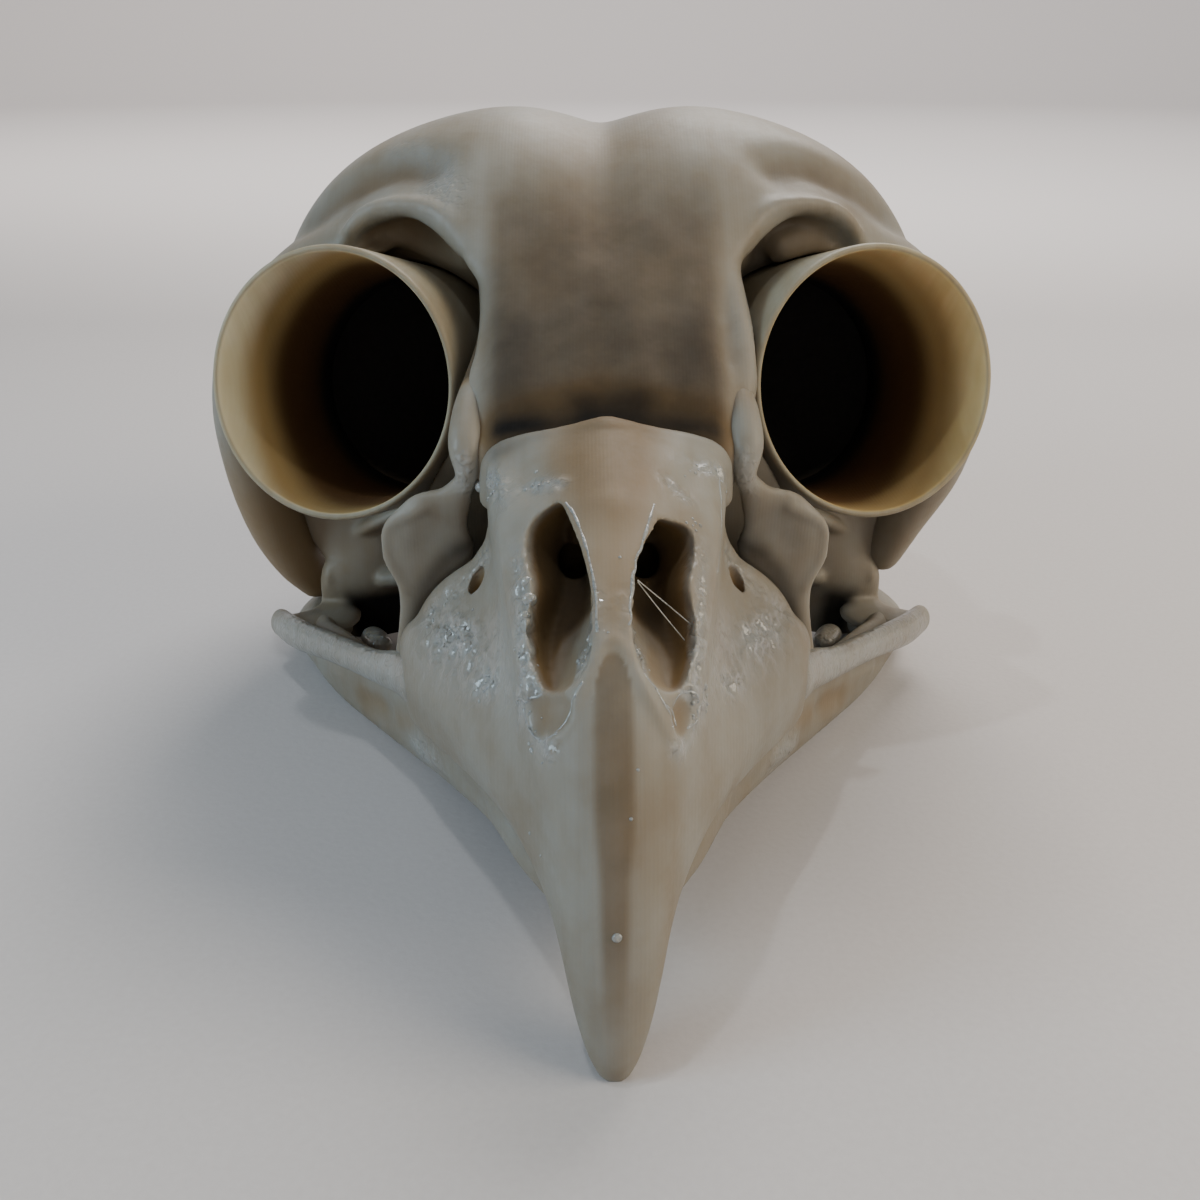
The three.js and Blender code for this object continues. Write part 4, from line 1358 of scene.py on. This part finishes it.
@dataclass
class Jaw:
    """The lower jaw, both halves fused at the tip."""

    half: tuple[Station, ...] = (
        (28.4, 68, 2.2, 2.3, 2.9),
        (29.4, 61.4, 2.5, 2.6, 3),
        (27.9, 55, 3, 3, 1.7),
        (24.4, 48.4, 3.9, 3.8, 1.15),
        (18.2, 39.4, 4.7, 3.9, 1.05),
        (12.8, 31, 5.4, 3.4, 1.1),
        (8.4, 22.6, 6.2, 2.5, 1.3),
        (5, 15, 6.6, 1.9, 1.7),
        (1.9, 10.6, 6.4, 1.5, 2),
        (0, 9.6, 6.3, 1.4, 2),
    )
    strokes: tuple[Stroke, ...] = (
        Stroke(((22.2, 43.6, 3.2), (19.2, 39.6, 4.4)), 1.2, -0.45),
        Stroke(((16.6, 34.4, 3.4), (14.8, 31.4, 4.0)), 0.9, 0.3),
        Stroke(((26.0, 49.0, 3.6), (24.6, 46.4, 4.2)), 1.0, 0.25),
        Stroke(((12.4, 27.0, 5.0), (10.2, 22.4, 5.6)), 1.2, -0.3),
    )

    voxel: float = 0.3

    def build(self, bench: Bench) -> bpy.types.Object:
        """Models and paints the jaw."""
        lumps = [bench.limb(self.half, ACROSS, side) for side in Side]
        whole = bench.fused(bench.joined("lower_jaw", lumps), self.voxel, 4)
        bench.sculpted(whole, self.strokes)
        below = bench.ball((0, 40, -60), (90, 110, 60))
        bench.carved(whole, [below])
        bench.grounded(whole)
        # a wet patch, glossy with a painted sheen
        bench.brushed(whole, Touch.WET, [Stroke(((16.6, 34.4, 3.4), (14.8, 31.4, 4.0)), 1.4, 0.7)])
        bench.brushed(whole, Touch.GLOW_AND_WARMTH, [
            Stroke(((22.4, 43.8, 3.2), (20.4, 41, 4.0)), 1.3, 0.5),
            Stroke(((18.2, 38, 4.6), (17, 36, 5.2)), 1.1, 0.4),
        ])
        bench.lumped(whole, Touch.WET, 0.2, 0.8)
        bench.mounted(whole, BONE_SLOT, "jaw_left", "jaw_right")
        return whole


@dataclass
class Stringing:
    """What the print head left: thin ridges along edges, small beads and two hairs across a nostril."""

    ridges: tuple[tuple[Point, ...], ...] = (
        ((-5.8, 11.6, 20.4), (-5.7, 10.6, 19.9), (-5.0, 9.2, 19.8), (-4.2, 8.2, 20.0), (-3.4, 7.6, 20.8)),
        ((-6.8, 13.2, 19.6), (-6.2, 12.4, 20.6), (-5.6, 11.0, 21.2), (-4.8, 10.2, 22.2)),
        ((5.6, 11.0, 21.2), (5.2, 10.4, 22.2), (4.4, 9.8, 22.4), (3.8, 9.0, 22.0)),
        ((5.7, 11.2, 20.8), (5.4, 10.2, 20.2), (4.8, 9.4, 20.2)),
        ((3.2, 8.4, 22.4), (3.8, 9.0, 21.4), (4.0, 8.8, 20.8)),
        ((6.2, 12.4, 21.6), (7.0, 13.4, 20.6), (6.6, 12.4, 19.6)),
        ((-3.1, 21.2, 31.2), (-2.4, 19.4, 30.8), (-1.6, 16.4, 29.6), (-1.1, 13.4, 28.0), (-1.0, 11, 26.4)),
        ((3.2, 21, 31.2), (2.6, 18.6, 30.4), (2.0, 16, 29.2), (1.5, 13.6, 28.0), (1.5, 11.4, 26.6)),
        ((-3.4, 7.8, 20.6), (-2.6, 8.1, 22.4), (-1.8, 8.7, 23.8)),
        ((3.8, 8.2, 20.8), (2.8, 8.6, 22.8), (2.1, 9.3, 24.2)),
        ((8.9, 28.6, 30.4), (8.0, 26, 28.4), (7.2, 23.4, 27.0), (6.6, 20.4, 26.2)),
        ((-9.0, 19.6, 18.6), (-8.6, 18.6, 19.0), (-8.2, 18.2, 18.4), (-8.6, 18.6, 17.8), (-9.0, 19.4, 18.2)),
    )
    ridge: float = 0.14
    beads: tuple[tuple[Point, float], ...] = (
        ((0.1, 0.9, 10.6), 0.34),
        ((0.9, 4.0, 17.1), 0.14),
        ((1.3, 5.6, 19.5), 0.12),
        ((-5.3, 8.5, 12.9), 0.14),
        ((-4.6, 6.9, 12.3), 0.12),
        ((0.6, 15.9, 29.3), 0.13),
        ((-5.8, 17.0, 27.0), 0.42),
        ((-5.5, 15.8, 26.3), 0.5),
        ((-5.9, 14.9, 25.6), 0.38),
        ((-10.8, 33.0, 28.2), 0.55),
    )
    # crumbs of melted plastic: middle, how far they spread and how many
    crumbs: tuple[tuple[Point, float, int], ...] = (
        ((-8.2, 28.6, 29.7), 1.6, 12),
        ((-5.0, 25.4, 30.4), 1.2, 9),
        ((6.4, 28.8, 30.5), 2.2, 12),
        ((5.7, 21.4, 29.2), 0.9, 6),
        ((-5.7, 12.6, 22.8), 1.4, 8),
        ((-2.0, 11.6, 24.4), 1.3, 18),
        ((2.3, 12.0, 24.6), 1.1, 12),
        ((-5.6, 9.4, 20.0), 1.6, 14),
        ((5.2, 9.8, 20.8), 1.4, 10),
        ((6.6, 12.2, 20.6), 1.2, 7),
        ((-11.3, 26.0, 18.6), 1.8, 14),
        ((-8.6, 18.6, 18.5), 1.2, 10),
        ((-12.8, 30.2, 18.8), 1.6, 8),
    )
    hairs: tuple[tuple[Point, Point, Point], ...] = (
        ((1.7, 14.4, 28.2), (3.5, 14.6, 26.5), (5.3, 15.0, 24.7)),
        ((1.7, 14.6, 28.0), (3.2, 14.4, 26.0), (4.8, 14.4, 23.9)),
    )
    hair: float = 0.04  # as a radius
    facing: Point = (0.3, 0.5, 0.8)  # along no ridge and no hair

    def build(self, bench: Bench, face: bpy.types.Object) -> bpy.types.Object:
        """Lays the ridges, beads and crumbs on the face, and hangs the hairs."""
        skin = bench.skin(face)
        lumps = []
        for path in self.ridges:
            line = smooth_line(path, 3 * len(path))
            laid = [self.laid(bench, skin, point, 0.6 * self.ridge) for point in line]
            waver = [self.ridge * (0.7 + 0.8 * abs(noise.noise(Vector(p) * 1.7))) for p in laid]
            lumps.append(bench.limb([(*p, w, w) for p, w in zip(laid, waver)], self.facing))
        for middle, radius in self.beads:
            laid = self.laid(bench, skin, middle, 0.3 * radius)
            lumps.append(bench.ball(laid, (radius, radius * 0.8, radius)))
        draws = np.random.default_rng(5)
        for middle, spread, count in self.crumbs:
            for offset in draws.normal(0, spread / 2, (count, 3)):
                radius = draws.uniform(0.08, 0.2)
                laid = self.laid(bench, skin, np.asarray(middle) + offset, 0.4 * radius)
                lumps.append(bench.ball(laid, (radius, radius, radius), 12))
        for start, middle, end in self.hairs:
            path = [(*point, self.hair, self.hair) for point in (start, middle, end)]
            lumps.append(bench.limb(path, self.facing))
        whole = bench.joined("stringing", lumps)
        # all of it wet: glossy, with the paler painted sheen
        bench.painted(whole, Touch.WET, np.ones(len(whole.data.vertices)))
        bench.mounted(whole, BONE_SLOT)
        return whole

    def laid(self, bench: Bench, skin: BVHTree, point: Sequence[float], sunk: float) -> Point:
        """The place so far under the skin that is nearest to a point."""
        nearest, normal = skin.find_nearest(bench.at(point))[:2]
        return tuple((nearest - bench.origin) / MM - normal * sunk)


# ---- the room ----


@dataclass(frozen=True)
class Lamp:
    """A soft square light."""

    name: str
    place: Point  # millimetres, as the skull's points
    size: float
    power: float
    colour: Point
    aim: Point = (0, 45, 25)

    def hung(self, bench: Bench) -> None:
        """Hangs the lamp and turns it to what it lights."""
        data = bpy.data.lights.new(self.name, "AREA")
        data.size = self.size * MM
        data.energy = self.power
        data.color = self.colour
        lamp = bpy.data.objects.new(self.name, data)
        bpy.context.collection.objects.link(lamp)
        lamp.location = bench.at(self.place)
        lamp.rotation_euler = (bench.at(self.aim) - lamp.location).to_track_quat("-Z", "Y").to_euler()


@dataclass
class Studio:
    """A pale table top, soft lamps and the camera."""

    eye: Point = (-1.76, -58.9, 60.7)
    pitch: float = 24.8  # degrees down
    yaw: float = 0.8  # degrees to the right
    lens: float = 37.5
    sensor: float = 36.0
    nearest: float = 0.005  # metres, the camera's near limit
    air: tuple[float, ...] = (0.86, 0.87, 0.90, 1)
    air_strength: float = 0.33
    table_radius: float = 1.6  # metres
    table_rise: float = 0.9
    lamps: tuple[Lamp, ...] = (
        Lamp("window", (-330, -80, 150), 150, 0.85, (0.62, 0.84, 1.0)),
        Lamp("room_lamp", (330, -70, 210), 240, 1.25, (1.0, 0.9, 0.73)),
        Lamp("ceiling", (90, 320, 330), 260, 1.7, (1.0, 0.96, 0.92)),
        Lamp("fill", (30, -330, 110), 200, 0.2, (1.0, 0.97, 0.93)),
        Lamp("spark", (-60, 20, 300), 12, 0.12, (0.9, 0.96, 1.0)),
        Lamp("backdrop", (0, 500, 700), 900, 17.5, (1.0, 0.97, 0.94), (0, 1500, 300)),
    )

    def build(self, bench: Bench) -> None:
        """Sets the stage."""
        self.table(bench)
        for lamp in self.lamps:
            lamp.hung(bench)
        world = bpy.data.worlds.new("room")
        world.use_nodes = True
        background = world.node_tree.nodes["Background"]
        background.inputs["Color"].default_value = self.air
        background.inputs["Strength"].default_value = self.air_strength
        bpy.context.scene.world = world
        self.camera(bench)

    def table(self, bench: Bench) -> None:
        """A sheet of white paper that curves up behind."""
        bpy.ops.object.select_all(action="DESELECT")
        bpy.ops.mesh.primitive_circle_add(
            vertices=96, radius=self.table_radius, fill_type="NGON", location=bench.at((0, 0, 0))
        )
        floor = bpy.context.object
        floor.name = "table_top"
        bpy.ops.object.transform_apply(location=True)
        bpy.ops.object.mode_set(mode="EDIT")
        bpy.ops.mesh.select_mode(type="EDGE")
        bpy.ops.mesh.select_all(action="SELECT")
        bpy.ops.mesh.extrude_edges_move(TRANSFORM_OT_translate={"value": (0, 0, self.table_rise)})
        bpy.ops.object.mode_set(mode="OBJECT")
        bench.modified(floor, "BEVEL", width=0.5, segments=14, limit_method="ANGLE", angle_limit=1.0)
        floor.data.shade_smooth()
        shop = PaintShop("white_paper")
        fibres = shop.noise(0.6, 4)
        paper = shop.mix(fibres, srgb(184, 179, 178), srgb(193, 189, 188))
        shop.plug(shop.shader.inputs["Base Color"], paper)
        shop.plug(shop.shader.inputs["Normal"], shop.bump(fibres, 0.03))
        shop.shader.inputs["Roughness"].default_value = 0.85
        floor.data.materials.append(shop.material)
        floor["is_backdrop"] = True

    def camera(self, bench: Bench) -> None:
        """The camera, close in front of the bill and a little above."""
        data = bpy.data.cameras.new("camera")
        data.lens = self.lens
        data.sensor_width = self.sensor
        data.clip_start = self.nearest
        camera = bpy.data.objects.new("camera", data)
        bpy.context.collection.objects.link(camera)
        camera.location = bench.at(self.eye)
        camera.rotation_euler = Euler((math.radians(90 - self.pitch), 0, math.radians(-self.yaw)))
        bpy.context.scene.camera = camera


def main() -> None:
    """Builds the skull piece by piece."""
    logging.basicConfig(level=logging.INFO, format="%(name)s: %(message)s")
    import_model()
    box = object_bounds()
    bench = Bench(Vector(box[0]))
    plastic = PrintedPlastic().made()
    # the tube on the skull's left, the side of the warm room lamp, gets a warmer painted glow
    warm_lamp_glow_wall = ThinWallGlowAndShade("thin_wall_glow_and_shade_left", lit=srgb(212, 196, 146), lit_streak=srgb(190, 168, 112))
    thin = {Side.RIGHT: ThinWallGlowAndShade("thin_wall_glow_and_shade_right").made(), Side.LEFT: warm_lamp_glow_wall.made()}
    tubes = {side: EyeTube(side) for side in Side}
    pieces = [Cranium().build(bench, list(tubes.values())), Face().build(bench), Palate().build(bench)]
    pieces += [Jaw().build(bench), Stringing().build(bench, pieces[1])]
    for side, tube in tubes.items():
        pieces += [Lacrimal(side).build(bench, tube), SideBones(side).build(bench)]
        tube.build(bench).data.materials.append(thin[side])
    for piece in pieces:
        piece.data.materials.clear()
        piece.data.materials.append(plastic)
    Studio().build(bench)


if __name__ == "__main__":
    main()
